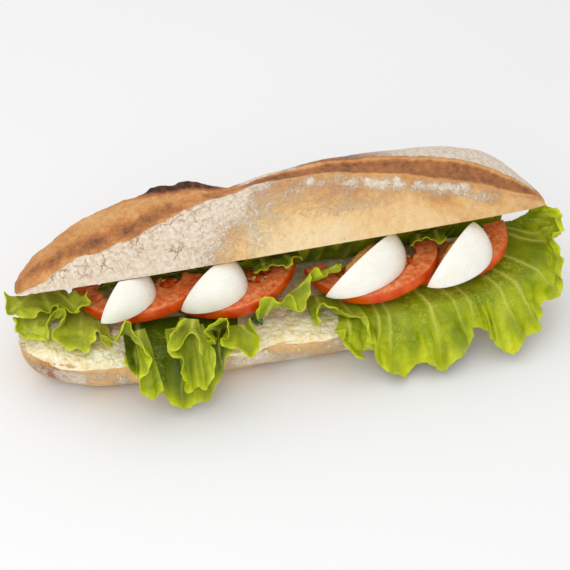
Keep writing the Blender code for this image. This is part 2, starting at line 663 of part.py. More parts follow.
def add_part(name, points, faces, look):
    mesh = bpy.data.meshes.new(name)
    mesh.from_pydata([tuple(float(c) * MM for c in p) for p in points], [], faces)
    mesh.validate()
    outward(mesh)
    for face in mesh.polygons:
        face.use_smooth = True
    mesh.update()
    part = bpy.data.objects.new(name, mesh)
    bpy.context.scene.collection.objects.link(part)
    material = bpy.data.materials.new(name)
    material.use_nodes = True
    shader = material.node_tree.nodes["Principled BSDF"]
    colour, roughness = look
    shader.inputs["Base Color"].default_value = (*colour, 1.0)
    shader.inputs["Roughness"].default_value = roughness
    shader.inputs["Metallic"].default_value = 0.0
    mesh.materials.append(material)
    return part


CRUST = ((0.62, 0.42, 0.22), 0.8)
PALE_CRUST = ((0.66, 0.52, 0.36), 0.85)
SPREAD_LOOK = ((0.80, 0.72, 0.50), 0.6)
TOMATO_LOOK = ((0.65, 0.12, 0.04), 0.3)
WHITE_LOOK = ((0.86, 0.85, 0.80), 0.3)
YOLK_LOOK = ((0.70, 0.42, 0.12), 0.8)
LEAF_LOOK = ((0.30, 0.48, 0.05), 0.4)


def make_bread_top(stations=44, around=17):
    a = np.linspace(0, 1, around)
    xs = end_spacing(stations, HALF_LENGTH - 0.6)
    rings = [top_place(top_surface(np.full(around, x), a)) for x in xs]
    first = top_place(np.array((-HALF_LENGTH - 0.3, 0, 1.0)))
    last = top_place(np.array((HALF_LENGTH + 0.3, 0, 1.0)))
    return skin(rings, first, last)


def make_bread_bottom(stations=34, around=13):
    a = np.linspace(0, 1, around)
    xs = end_spacing(stations, HALF_LENGTH - 0.6)
    rings = [base_surface(np.full(around, x), a) for x in xs]
    first = base_place(np.array((-HALF_LENGTH - 0.3, 0, BASE_CUT - 1.5)))
    last = base_place(np.array((HALF_LENGTH + 0.3, 0, BASE_CUT - 1.5)))
    return skin(rings, first, last)


def make_spread(stations=34, around=10):
    a = np.linspace(0, 1, around)
    xs = end_spacing(stations, SPREAD_HALF_LENGTH - 0.6)
    rings = [spread_surface(np.full(around, x), a) for x in xs]
    low = BASE_CUT + GAP
    first = base_place(np.array((-SPREAD_HALF_LENGTH - 0.2, 0, low + 0.6)))
    last = base_place(np.array((SPREAD_HALF_LENGTH + 0.2, 0, low + 0.6)))
    return skin(rings, first, last)


def make_egg_white(index, along_steps=12, turn_steps=6, pocket_steps=8, pocket_turns=4):
    start, along, up, side = egg_frame(index)
    length, half_width, lean = EGGS[index][2:5]
    low = math.radians(lean)
    yolk = YOLK_RADIUS * half_width / 19.0 + GAP
    middle = length * YOLK_PLACE

    def place(s, r, turn):
        return under_roof(start + along * s + (up * math.cos(turn) + side * math.sin(turn)) * r)

    turns = np.linspace(low, math.pi / 2, turn_steps + 1)
    ts = -np.cos(np.linspace(0, math.pi, along_steps + 1))
    points, faces = [], []

    def add(point):
        points.append(point)
        return len(points) - 1

    tip = add(place(0, 0, low))
    end = add(place(length, 0, low))
    outer = [[add(place((t + 1) * length / 2, half_width * float(egg_radius(t)), turn)) for turn in turns]
             for t in ts[1:-1]]
    for j in range(turn_steps):
        faces.append((tip, outer[0][j], outer[0][j + 1]))
        faces.append((end, outer[-1][j + 1], outer[-1][j]))
        for k in range(len(outer) - 1):
            faces.append((outer[k][j], outer[k + 1][j], outer[k + 1][j + 1], outer[k][j + 1]))
    near = add(place(middle - yolk, 0, low))
    far = add(place(middle + yolk, 0, low))
    pocket_angles = np.linspace(low, math.pi / 2, pocket_turns + 1)
    arcs = np.linspace(0, math.pi, pocket_steps + 1)[1:-1]
    inner = [[add(place(middle - yolk * math.cos(arc), yolk * math.sin(arc), turn))
              for turn in pocket_angles] for arc in arcs]
    for j in range(pocket_turns):
        faces.append((near, inner[0][j + 1], inner[0][j]))
        faces.append((far, inner[-1][j], inner[-1][j + 1]))
        for k in range(len(inner) - 1):
            faces.append((inner[k][j + 1], inner[k + 1][j + 1], inner[k + 1][j], inner[k][j]))
    upright = [tip] + [row[0] for row in outer] + [end, far] + [row[0] for row in reversed(inner)] + [near]
    base = [tip] + [row[-1] for row in outer] + [end, far] + [row[-1] for row in reversed(inner)] + [near]
    faces.append(tuple(reversed(upright)))
    faces.append(tuple(base))
    return points, faces


def make_egg_yolk(index, pocket_steps=8, pocket_turns=4):
    start, along, up, side = egg_frame(index)
    length, half_width, lean = EGGS[index][2:5]
    low = math.radians(lean)
    radius = YOLK_RADIUS * half_width / 19.0
    middle = length * YOLK_PLACE
    points, faces = [], []

    def place(s, r, turn):
        return under_roof(start + along * s + (up * math.cos(turn) + side * math.sin(turn)) * r)

    points.append(place(middle - radius, 0, low))
    points.append(place(middle + radius, 0, low))
    turns = np.linspace(low, math.pi / 2, pocket_turns + 1)
    arcs = np.linspace(0, math.pi, pocket_steps + 1)[1:-1]
    rows = []
    for arc in arcs:
        row = []
        for turn in turns:
            points.append(place(middle - radius * math.cos(arc), radius * math.sin(arc), turn))
            row.append(len(points) - 1)
        rows.append(row)
    for j in range(pocket_turns):
        faces.append((0, rows[0][j], rows[0][j + 1]))
        faces.append((1, rows[-1][j + 1], rows[-1][j]))
        for k in range(len(rows) - 1):
            faces.append((rows[k][j], rows[k + 1][j], rows[k + 1][j + 1], rows[k][j + 1]))
    loop = [0] + [row[0] for row in rows] + [1]
    heart = np.array(place(middle, radius * 0.42, low))
    out = (up * math.sin(low) - side * math.cos(low)) * YOLK_BULGE[index]
    crown = []
    for k in loop:
        points.append(under_roof(heart + (np.array(points[k]) - heart) * 0.6 + out))
        crown.append(len(points) - 1)
    for k in range(len(loop)):
        after = (k + 1) % len(loop)
        faces.append((loop[after], loop[k], crown[k], crown[after]))
    faces.append(tuple(reversed(crown)))
    faces.append(tuple([0] + [row[-1] for row in rows] + [1]))
    return points, faces


def main():
    for old in list(bpy.data.objects):
        bpy.data.objects.remove(old)
    add_part("bread_top", *make_bread_top(), CRUST)
    add_part("bread_bottom", *make_bread_bottom(), PALE_CRUST)
    add_part("spread", *make_spread(), SPREAD_LOOK)
    for k, data in enumerate(TOMATOES):
        add_part(f"tomato_{k + 1}", *skin(tomato_rings(data, k + 1, 21)), TOMATO_LOOK)
    for k in range(len(EGGS)):
        add_part(f"egg_white_{k + 1}", *make_egg_white(k), WHITE_LOOK)
        add_part(f"egg_yolk_{k + 1}", *make_egg_yolk(k), YOLK_LOOK)
    for name, sheet in lay_leaves().items():
        add_part(name, *leaf_solid(sheet, LEAF_THICK), LEAF_LOOK)


if __name__ == "__main__":
    main()
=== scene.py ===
"""Looks of the long filled sandwich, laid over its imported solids."""
import math

import bmesh
import bpy
import numpy as np
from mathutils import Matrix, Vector
from mathutils.bvhtree import BVHTree

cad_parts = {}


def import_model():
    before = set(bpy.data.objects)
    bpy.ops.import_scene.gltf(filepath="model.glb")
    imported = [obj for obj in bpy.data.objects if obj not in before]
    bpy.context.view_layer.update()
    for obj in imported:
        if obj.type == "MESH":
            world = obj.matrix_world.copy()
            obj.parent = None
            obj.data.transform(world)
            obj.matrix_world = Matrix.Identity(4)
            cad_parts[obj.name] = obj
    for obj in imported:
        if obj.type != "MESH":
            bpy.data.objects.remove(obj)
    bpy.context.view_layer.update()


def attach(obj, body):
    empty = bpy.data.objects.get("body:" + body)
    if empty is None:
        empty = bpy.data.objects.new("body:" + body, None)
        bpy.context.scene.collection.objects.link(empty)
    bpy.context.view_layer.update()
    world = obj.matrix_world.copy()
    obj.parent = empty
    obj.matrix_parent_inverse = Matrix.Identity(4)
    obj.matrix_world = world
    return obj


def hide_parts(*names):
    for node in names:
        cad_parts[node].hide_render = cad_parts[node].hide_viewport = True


# All sizes below are in millimetres; MM turns them into metres.
MM = 0.001

# Bread
HALF_LENGTH = 147.0
TOP_HALF_WIDTH = 37.0
TOP_SECTION = 2.3
TOP_TILT = math.radians(33.0)
TOP_PITCH = math.radians(-2.6)
TOP_YAW = math.radians(-1.5)
TOP_CENTRE = (1.7, 16.0, 46.4)
TOP_STATIONS = (-147, -138, -120, -100, -80, -60, -35, -10, 20, 50, 80, 100, 120, 135, 144, 147)
TOP_HEIGHTS = (5, 15, 25.7, 35.2, 39.5, 40.4, 38.6, 39.8, 43.4, 44, 42.2, 39.6, 31.5, 17, 7, 3)
BASE_HALF_WIDTH = 38.5
BASE_CUT = 25.5
BASE_DROP = 29.7
BASE_SECTION = 2.1
BASE_YAW = math.radians(1.0)
BASE_SHIFT = 0.8

# Filling, from the bottom up
GAP = 0.35
ROOF_GAP = 0.5
SPREAD_TOP = 30.4
SPREAD_HALF_WIDTH = 35.5
SPREAD_HALF_LENGTH = 143.0
TOMATO_THICK = 6.6
# Yolk radius of a wedge whose half-width is EGG_HALF_WIDTH; other wedges are in proportion.
YOLK_RADIUS = 12.5
EGG_HALF_WIDTH = 19.0
LEAF_CLEAR = 1.3
LEAF_STACK = 0.5
LEAF_FLOOR = 2.6
# Share of the way from root to rim at which every leaf bends over its lip.
LIP_PLACE = 0.28
# Distance that counts as out of reach.
FAR_OFF = 9.0


def smooth_step(low, high, value):
    """Rises smoothly from 0 at low to 1 at high."""
    t = np.clip((value - low) / (high - low), 0.0, 1.0)
    return t * t * (3.0 - 2.0 * t)


def spline(points, t):
    """Catmull-Rom curve through the guide points, t from 0 to 1."""
    guide = np.asarray(points, dtype=float)
    guide = np.vstack((2 * guide[0] - guide[1], guide, 2 * guide[-1] - guide[-2]))
    spans = len(guide) - 3
    place = np.clip(np.asarray(t, dtype=float), 0.0, 1.0) * spans
    index = np.minimum(place.astype(int), spans - 1)
    f = (place - index)[..., None]
    a, b, c, d = (guide[index + k] for k in range(4))
    return 0.5 * (2 * b + (c - a) * f + (2 * a - 5 * b + 4 * c - d) * f ** 2
                  + (3 * b - a - 3 * c + d) * f ** 3)


def profile(x, stations, values):
    """Smooth curve through values given at uneven stations, flat-ended between neighbours."""
    xs = np.asarray(stations, dtype=float)
    ys = np.asarray(values, dtype=float)
    slope = np.gradient(ys, xs)
    x = np.clip(x, xs[0], xs[-1])
    k = np.clip(np.searchsorted(xs, x) - 1, 0, len(xs) - 2)
    span = xs[k + 1] - xs[k]
    t = (x - xs[k]) / span
    return ((2 * t ** 3 - 3 * t ** 2 + 1) * ys[k] + (t ** 3 - 2 * t ** 2 + t) * span * slope[k]
            + (3 * t ** 2 - 2 * t ** 3) * ys[k + 1] + (t ** 3 - t ** 2) * span * slope[k + 1])


def lumps(x, y, size, seed):
    """Soft uneven swelling between -1 and 1, the same every time for one seed."""
    draw = np.random.default_rng(seed)
    total = 0.0
    for _ in range(7):
        angle = draw.uniform(0, 2 * math.pi)
        wave = 2 * math.pi / (size * draw.uniform(0.7, 1.6))
        total = total + np.sin((x * math.cos(angle) + y * math.sin(angle)) * wave
                               + draw.uniform(0, 2 * math.pi))
    return total / 4.0


def rotation(yaw, pitch, tilt):
    """Turn matrix from three angles."""
    ct, st = math.cos(tilt), math.sin(tilt)
    cp, sp = math.cos(pitch), math.sin(pitch)
    cy, sy = math.cos(yaw), math.sin(yaw)
    about_x = np.array(((1, 0, 0), (0, ct, st), (0, -st, ct)))
    about_y = np.array(((cp, 0, sp), (0, 1, 0), (-sp, 0, cp)))
    about_z = np.array(((cy, -sy, 0), (sy, cy, 0), (0, 0, 1)))
    return about_z @ about_y @ about_x


TOP_TURN = rotation(TOP_YAW, TOP_PITCH, TOP_TILT)


def plan_width(x, half_length, half_width):
    """Half-width of a pointed loaf or layer along its length."""
    return half_width * np.clip(1 - np.abs(x / half_length) ** 4, 0, 1) ** (1 / 2.2)


def end_spacing(count, half_length):
    """Stations along the loaf, closer together at its two ends."""
    t = np.linspace(-1, 1, count)
    return half_length * np.sin(t * math.pi / 2) * 0.55 + half_length * t * 0.45


# The slashes of the crust. Each curve gives the place round the section, 0 at the front
# edge and 1 at the back edge, for stations along the loaf.
SKIN_STATIONS = (-147, -135, -119, -97, -80, -64, -45, -30, -15)
SKIN_EDGE = (0.02, 0.05, 0.13, 0.14, 0.16, 0.21, 0.29, 0.33, 0.35)
BAND_STATIONS = (-24, -9, 12, 43, 64, 85, 106, 121, 139)
BAND_UPPER = (0.43, 0.45, 0.41, 0.36, 0.33, 0.29, 0.24, 0.20, 0.18)
BAND_LOWER = (0.37, 0.38, 0.34, 0.27, 0.23, 0.18, 0.14, 0.11, 0.12)


def top_relief(x, a):
    """How far the crust stands out (mm) at station x and place a round the section."""
    edge = profile(x, SKIN_STATIONS, SKIN_EDGE)
    left = 1 - smooth_step(-30, 0, x)
    opened = smooth_step(0.0, 0.05, a - edge) * left * smooth_step(-146, -120, x)
    sunk = opened * (1 - smooth_step(0.0, 0.3, a - edge - 0.12))
    upper = profile(x, BAND_STATIONS, BAND_UPPER)
    lower = profile(x, BAND_STATIONS, BAND_LOWER)
    along = smooth_step(-30, 10, x) * (1 - smooth_step(125, 142, x))
    middle = (upper + lower) / 2
    half = np.maximum((upper - lower) / 2, 0.02)
    groove = np.exp(-((a - middle) / half) ** 4) * along
    lip = np.exp(-((a - upper - 0.03) / 0.035) ** 2) * along
    ear = np.exp(-((a - 0.47) / 0.04) ** 2) * np.exp(-((x + 53) / 18) ** 4)
    uneven = lumps(x, a * 60, 38, 3) * 0.55
    return -1.2 * sunk - 1.3 * groove + 0.9 * lip + 2.2 * ear + uneven


def top_surface(x, a):
    """Crust of the upper half in the bread's own frame, cut face on z = 0."""
    turn = a * math.pi
    cy = -np.sign(np.cos(turn)) * np.abs(np.cos(turn)) ** (2 / TOP_SECTION)
    cz = np.abs(np.sin(turn)) ** (2 / TOP_SECTION)
    w = np.maximum(plan_width(x, HALF_LENGTH, TOP_HALF_WIDTH), 0.6)
    h = profile(x, TOP_STATIONS, TOP_HEIGHTS)
    fade = smooth_step(0.02, 0.14, a) * (1 - smooth_step(0.86, 0.98, a))
    fade = fade * smooth_step(1.0, 12.0, HALF_LENGTH - np.abs(x))
    out = top_relief(x, a) * fade
    length = np.hypot(cy * h, cz * w) + 1e-9
    ny = cy * h / length
    nz = cz * w / length
    return np.stack((x + 0 * a, w * cy + out * ny, np.maximum(h * cz + out * nz, 0)), -1)


def roof_height(x, y):
    """Height of the upper bread's cut face above a place on the table."""
    normal = TOP_TURN[:, 2]
    cx, cy, cz = TOP_CENTRE
    return cz - (normal[0] * (x - cx) + normal[1] * (y - cy)) / normal[2]


def top_place(points):
    """From the upper bread's own frame to the sandwich's."""
    return np.asarray(points) @ TOP_TURN.T + np.array(TOP_CENTRE)


def base_place(points):
    """From the lower bread's own frame to the sandwich's, a slight turn and shift."""
    points = np.asarray(points, dtype=float)
    c, n = math.cos(BASE_YAW), math.sin(BASE_YAW)
    x, y = points[..., 0], points[..., 1]
    return np.stack((x * c - y * n, x * n + y * c + BASE_SHIFT, points[..., 2]), -1)


def base_local(points):
    """Points in the frame of the lower loaf."""
    c, n = math.cos(BASE_YAW), math.sin(BASE_YAW)
    x, y = points[..., 0], points[..., 1] - BASE_SHIFT
    return np.stack((x * c + y * n, y * c - x * n, points[..., 2]), -1)


def base_surface(x, a):
    """Crust of the lower half: a runs from the front cut edge under to the back cut edge."""
    turn = a * math.pi
    cy = -np.sign(np.cos(turn)) * np.abs(np.cos(turn)) ** (2 / BASE_SECTION)
    cz = np.abs(np.sin(turn)) ** (2 / BASE_SECTION)
    w = np.maximum(plan_width(x, HALF_LENGTH, BASE_HALF_WIDTH), 0.6)
    drop = BASE_DROP * np.clip(1 - np.abs(x / (HALF_LENGTH + 0.5)) ** 7, 0, 1) ** (1 / 2.4)
    fade = smooth_step(0.02, 0.12, a) * (1 - smooth_step(0.88, 0.98, a))
    out = lumps(x, a * 60, 42, 8) * 0.6 * fade * smooth_step(1.0, 12.0, HALF_LENGTH - np.abs(x))
    z = BASE_CUT - drop * cz
    return base_place(np.stack((x + 0 * a, (w + out) * cy, np.maximum(z, 0)), -1))


def spread_top(x, y):
    """Height of the lumpy spread over the lower bread."""
    return SPREAD_TOP + 0.55 * lumps(x, y, 14, 21) + 0.35 * lumps(x, y, 8, 22)


# Tomato half-slices, left to right: middle of the cut (x, y, z), radius, how far each rises
# toward its right end and drops toward its back (degrees), and where its arc starts and ends.
TOMATOES = (
    ((-79.0, 15.0, 43.0), 37.0, 7.5, 1.0, 0.0, 0.85),
    ((-33.0, 8.5, 42.0), 37.0, 8.0, 1.0, 0.0, 1.0),
    ((44.7, 0.8, 43.6), 37.0, 6.5, 0.0, 0.0, 1.0),
    ((88.0, 9.0, 41.5), 37.0, 7.0, 0.0, 0.19, 1.0),
)
TOMATO_WALL = 11.5
TOMATO_SPOKE = 0.13


def tomato_frame(slice_data):
    """Turn matrix and middle of a half-slice."""
    middle, _, end_rise, back_drop = slice_data[:4]
    return rotation(0.0, -math.radians(end_rise), math.radians(back_drop)), np.array(middle)


def tomato_outline(radius, a, seed):
    """Outer and inner radius of the half-slice at a, from 0 at one cut end to 1 at the other."""
    angle = a * math.pi
    outer = radius * (1 + 0.012 * np.cos(3 * angle + seed) + 0.01 * np.cos(5 * angle + 2 * seed))
    wall = TOMATO_WALL * (1 + 0.08 * np.sin(4 * angle + seed))
    spoke = np.exp(-((a - 0.5) / TOMATO_SPOKE) ** 4)
    ends = np.exp(-((a - a[0]) / 0.045) ** 2) + np.exp(-((a[-1] - a) / 0.045) ** 2)
    inner = (outer - wall) * (1 - 0.8 * np.clip(spoke, 0, 1)) - 1.2 * ends
    return outer, inner


# Egg wedges lie on the tomato below them. Each has its pointed tip (x, y) on that slice,
# the heading of its long edge, its length, its half-width and its lean (degrees).
EGGS = (
    ((-26.3, -36.2), 48.0, 39.5, 17.0, 15.0),
    ((-30.1, -27.4), 32.0, 41.0, 19.5, 20.0),
    ((-32.4, -28.3), 34.5, 56.5, 21.5, 30.0),
    ((-21.0, -40.5), 43.0, 51.0, 21.0, 22.0),
)
YOLK_PLACE = 0.56
YOLK_BULGE = (1.2, 1.2, 3.2, 1.4)


def egg_frame(index):
    """Tip of the wedge and its axes: along the long edge, up, and out across its base."""
    (x, y), heading = EGGS[index][:2]
    frame, middle = tomato_frame(TOMATOES[index])
    yaw = math.radians(heading)
    along = frame @ np.array((math.cos(yaw), math.sin(yaw), 0.0))
    side = frame @ np.array((math.sin(yaw), -math.cos(yaw), 0.0))
    up = frame @ np.array((0.0, 0.0, 1.0))
    start = middle + frame @ np.array((x, y, TOMATO_THICK / 2 + GAP))
    return start, along, up, side


def egg_radius(t):
    """Half-width of the egg as a share of the largest, t from -1 at the tip to 1 at the blunt end."""
    return np.sqrt(np.clip(1 - t ** 2, 0, 1)) * (1 + 0.13 * t - 0.03 * t ** 2)


# Leaves in the order in which they are laid. Each has the two ends of its root line between
# the layers, the guide points of its frilled rim, the count and depth of its fine ruffles, the
# count of its pleats and its grid. Some have how far their lip rises toward the rim (rise or
# standing) or sags at its two ends (sag), or the count, depth, overhang and start of deep folds.
LEAVES = {
    "lettuce_8": dict(
        root=((24, -10, 33.0), (129, 24, 36.0)),
        rim=((15, -43, 31), (18, -47, 24), (24, -49, 16), (30, -47, 17), (35, -47, 15), (36, -51, 10),
             (42, -54, 6), (51, -56, 4), (56, -54, 9), (63, -55, 9), (69, -58, 5), (76, -55, 8),
             (84, -51, 9), (88, -48, 14), (90, -45, 19), (95, -45, 19), (100, -48, 15), (103, -53, 9),
             (109, -55, 6), (116, -51, 11), (124, -49, 11), (129, -44, 15), (133, -36, 21), (140, -34, 23),
             (146, -30, 26), (147, -24, 30), (151, -17, 34), (148, -9, 41), (155, -2, 44), (159, 7, 47),
             (155, 13, 50), (147, 18, 49.5)),
        ruffles=13, depth=1.5, pleats=10, size=(48, 6)),
    "lettuce_6": dict(
        root=((-25, -29.5, 36), (10, -11, 47)),
        rim=((-26, -34, 42), (-25, -32, 48), (-22, -31, 53), (-17, -32, 51), (-12, -32, 47), (-7, -29, 48),
             (-5, -30, 44), (-3, -32, 40), (1, -30, 39), (3, -27, 43), (6, -24, 46), (6, -21, 50),
             (7, -19, 54), (11, -16, 55), (13, -18, 52), (16, -19, 50), (18, -15, 53), (22, -13, 53),
             (24, -16, 50), (25, -12, 52)),
        standing=0.9, ruffles=5, depth=0.0, pleats=0, size=(31, 4)),
    "lettuce_7": dict(
        root=((4, -14, 34.6), (26, -16, 35.2)),
        rim=((3, -38, 34), (6, -38, 39), (11, -36, 43), (18, -38, 43), (24, -43, 38), (30, -48, 32),
             (35, -52, 26)),
        folds=(2.2, 3.8, 0.9, 0.15), ruffles=5, depth=0.0, pleats=0, size=(24, 6)),
    "lettuce_2": dict(
        root=((-136, 14, 32.8), (-101, 6, 32.8)),
        rim=((-148, 4, 37), (-148, -5, 33), (-141, -14, 33), (-136, -13, 34), (-132, -19, 34),
             (-133, -10, 36), (-133, -4, 39), (-126, -3, 41), (-122, -8, 41), (-130, -12, 38),
             (-131, -16, 36), (-127, -23, 34), (-121, -29, 34), (-115, -31, 34), (-111, -25, 37),
             (-108, -22, 38), (-106, -26, 37), (-104, -30, 35), (-101, -30, 34)),
        ruffles=7, depth=1.0, pleats=3, size=(34, 5)),
    "lettuce_1": dict(
        root=((-121, 25, 35.0), (-139, 23, 34.8)), rise=0.35,
        rim=((-108, -1, 49), (-110, -7, 46.5), (-114, -10, 44), (-118, -7, 43), (-121, -2, 40.5),
             (-125, 1, 41), (-131, 2, 39.5), (-137, 0, 38), (-143, 1, 37.5), (-148, 4, 39), (-152, 8, 43),
             (-153, 13, 49)),
        ruffles=9, depth=0.9, pleats=3, size=(20, 4)),
    "lettuce_4": dict(
        root=((-94, -12, 33.0), (-32, -12, 33.2)),
        rim=((-96, -39, 33), (-95, -43, 29), (-92, -47, 25), (-87, -50, 21), (-81, -52, 16), (-77, -53, 11),
             (-74, -53, 7), (-69, -53, 5), (-62, -53, 7), (-57, -52, 9), (-52, -51, 11), (-49, -48, 17),
             (-46, -44, 26), (-38, -40, 32)),
        folds=(2.4, 1.4, 0.0, 0.2), ruffles=6, depth=0.0, pleats=0, size=(26, 5)),
    "lettuce_3": dict(
        root=((-101, -27, 38.0), (-84, -27, 40.5)),
        rim=((-108, -38, 49), (-105, -41, 47), (-102, -43, 47), (-99, -43, 52), (-97, -41, 59),
             (-94, -40, 59), (-92, -40, 53), (-90, -43, 47), (-87, -48, 42.5), (-84.5, -52, 38.5),
             (-88, -55, 35), (-92, -57, 31), (-93, -58, 25), (-90, -58, 19), (-85, -57, 18),
             (-80.5, -57, 23)),
        standing=0.9, ruffles=6, depth=0.0, pleats=0, size=(34, 6)),
    "lettuce_5": dict(
        root=((-74, -29, 39.4), (-54, -29, 39.0)),
        rim=((-76, -48, 40.5), (-74, -53, 40), (-70.5, -56, 38.5), (-71.5, -58, 35), (-71.5, -58, 31),
             (-69, -58, 26), (-72, -59, 23), (-67, -58, 19), (-63, -59, 23), (-59, -58, 19),
             (-55, -58, 25), (-53, -54, 30), (-53, -50, 36)),
        standing=0.9, ruffles=4, depth=0.0, pleats=0, size=(30, 5)),
    "lettuce_12": dict(
        root=((-66, -28, 44.5), (-56, -28, 41.5)),
        rim=((-65, -38, 50), (-72, -44, 50), (-76, -49, 48), (-75, -52, 44), (-70, -51, 43), (-67, -48, 45),
             (-63, -46, 46), (-61, -49, 44), (-59, -53, 38)),
        standing=0.9, ruffles=4, depth=0.0, pleats=0, size=(24, 5)),
    "lettuce_13": dict(
        root=((-50, -30, 36.0), (-31, -30, 35.5)),
        rim=((-50, -43, 36), (-54, -46, 43), (-57, -46, 48), (-54, -43, 50), (-49, -40, 49), (-43, -39, 49),
             (-42, -43, 46), (-45, -47, 43), (-48, -45, 40), (-46, -48, 37), (-40, -50, 36), (-35, -53, 31),
             (-32, -53, 33), (-29, -49, 39), (-31, -45, 45), (-32, -41, 48)),
        standing=0.9, ruffles=4, depth=0.0, pleats=0, size=(34, 5)),
    "lettuce_9": dict(
        root=((-20, 4, 50.0), (4, 4, 52.0)), rise=0.5,
        rim=((-22, -9, 52), (-17, -12, 54), (-11, -11, 56), (-5, -12, 55), (1, -10, 57), (5, -7, 56)),
        ruffles=5, depth=0.6, pleats=2, size=(10, 3)),
    "lettuce_10": dict(
        root=((68, 2, 52.5), (86, 2, 54.0)), rise=0.5,
        rim=((64, -9, 54), (69, -11, 56), (74, -10, 57), (79, -12, 55), (84, -9, 57)),
        ruffles=4, depth=0.6, pleats=2, size=(10, 3)),
    "lettuce_11": dict(
        root=((-98, 27, 33.4), (121, 25, 40.5)), rise=0.0, sag=(0.8, 6.5),
        rim=((-103, 21, 36), (-88, 21, 37), (-70, 20, 38), (-52, 19, 39.5), (-38, 16, 42), (-20, 13, 46),
             (0, 12, 47.5), (20, 11, 49), (40, 9, 51), (60, 11, 50.5), (80, 13, 50), (96, 14, 50.5),
             (106, 15, 50.5), (117, 16, 49), (128, 18, 47.5)),
        ruffles=12, depth=0.7, pleats=7, size=(26, 3)),
}
# Way in which the upper, outer side of every leaf faces.
OUTSIDE = np.array((0.0, -0.55, 0.83))


def sheet_check(points):
    """Distance to a leaf already laid, counted from its upper, outer side."""
    columns, rows = points.shape[0] - 1, points.shape[1] - 1
    tree = BVHTree.FromPolygons([tuple(p) for p in points.reshape(-1, 3)], grid_faces(columns, rows))

    def distance(queries):
        out = np.full(len(queries.reshape(-1, 3)), FAR_OFF)
        for k, query in enumerate(queries.reshape(-1, 3)):
            place, normal, _, near = tree.find_nearest(tuple(query), 4.0)
            if place is None:
                continue
            sign = 1.0 if np.dot(normal, OUTSIDE) > 0 else -1.0
            side = sign * (Vector(query) - place).dot(normal)
            if near > 0 and abs(side) > 0.55 * near:
                level = near if side > 0 else -near
                out[k] = level if level > -2.4 else FAR_OFF
        return (out - LEAF_STACK).reshape(queries.shape[:-1])

    return distance


def lay_leaves(detail):
    """All leaf sheets, each pushed clear of the filling and of the leaves laid before it."""
    solids = solid_distances()
    laid = []
    sheets = {}
    for name, leaf in LEAVES.items():
        columns, rows = leaf["size"]
        sheet = leaf_sheet(leaf, columns * detail, rows * detail, solids + laid)
        sheets[name] = sheet
        laid.append(sheet_check(sheet))
    return sheets


def rim_parts(leaf, u):
    """The rim as a calm line and the tight folds that lie on it."""
    fine = np.linspace(0, 1, 241)
    line = spline(leaf["rim"], fine)
    reach = np.arange(-40, 41)
    weight = np.exp(-(reach / 17.0) ** 2)
    weight /= weight.sum()
    padded = np.vstack((2 * line[0] - line[40:0:-1], line, 2 * line[-1] - line[-2:-42:-1]))
    calm = np.stack([np.convolve(padded[:, k], weight, mode="valid") for k in range(3)], -1)
    low = np.stack([np.interp(u, fine, calm[:, k]) for k in range(3)], -1)
    return low, spline(leaf["rim"], u) - low


def lip_share(root, rim):
    """Share of the way from root to rim at which a leaf passes the edge of the filling."""
    share = np.linspace(0.2, 0.95, 40)
    line = root[:, None] + (rim - root)[:, None] * share[None, :, None]
    local = base_local(line)
    w = plan_width(local[..., 0], SPREAD_HALF_LENGTH, SPREAD_HALF_WIDTH)
    past = np.abs(local[..., 1]) > w + 1.4
    first = np.where(past.any(axis=1) & ~past[:, 0], share[past.argmax(axis=1)], 0.5)
    return np.clip(first, 0.2, 0.8)


def leaf_sheet(leaf, columns, rows, checks, clear=LEAF_CLEAR):
    """Middle surface of a leaf: rows from the root line to the rim, columns along it."""
    u = np.linspace(0, 1, columns + 1)
    v = np.linspace(0, 1, rows + 1)
    first, last = (np.array(end, dtype=float) for end in leaf["root"])
    root = first + (last - first) * u[:, None]
    calm, folds = rim_parts(leaf, u)
    if "folds" in leaf or "standing" in leaf:
        calm, folds = spline(leaf["rim"], u), 0 * calm
    share = lip_share(root, calm)[:, None]
    lip = root + (calm - root) * share
    lip[:, 2] = root[:, 2] + leaf.get("rise", 0.1) * np.maximum(calm[:, 2] - root[:, 2], 0)
    if "sag" in leaf:
        lip[:, 2] -= leaf["sag"][0] + (leaf["sag"][1] - leaf["sag"][0]) * u
    if "standing" in leaf:
        climb = calm[:, 2] - root[:, 2]
        lip[:, 2] = root[:, 2] + share[:, 0] * np.where(climb > 0, leaf["standing"] * climb, 0.4 * climb)
    rest = np.clip((v - LIP_PLACE) / (1 - LIP_PLACE), 0, 1)[None, :, None]
    inner = np.clip(v / LIP_PLACE, 0, 1)[None, :, None]
    turn = lip + (calm - lip) * 0.45
    turn[:, 2] = lip[:, 2] + (0.12 + 0.25 * ("standing" in leaf)) * (calm[:, 2] - lip[:, 2])
    flat = root[:, None] + (lip - root)[:, None] * inner
    outer = (lip[:, None] * (1 - rest) ** 2 + 2 * turn[:, None] * rest * (1 - rest)
             + calm[:, None] * rest ** 2)
    points = np.where(v[None, :, None] < LIP_PLACE, flat, outer)
    points = points + folds[:, None] * rest ** 1.9
    normal = sheet_normals(points)
    grown = rest[..., 0]
    wave = np.sin(2 * math.pi * leaf["ruffles"] * u)[:, None] * leaf["depth"] * grown ** 2
    pleat = np.sin(2 * math.pi * leaf["pleats"] * u[:, None] + 2.0 * v[None, :]) * np.sin(math.pi * grown)
    points = points + normal * (wave + 0.9 * pleat * (leaf["pleats"] > 0))[:, :, None]
    if "folds" in leaf:
        points = points + meander(leaf, points, u, grown)
    return push_clear(points, checks, clear)


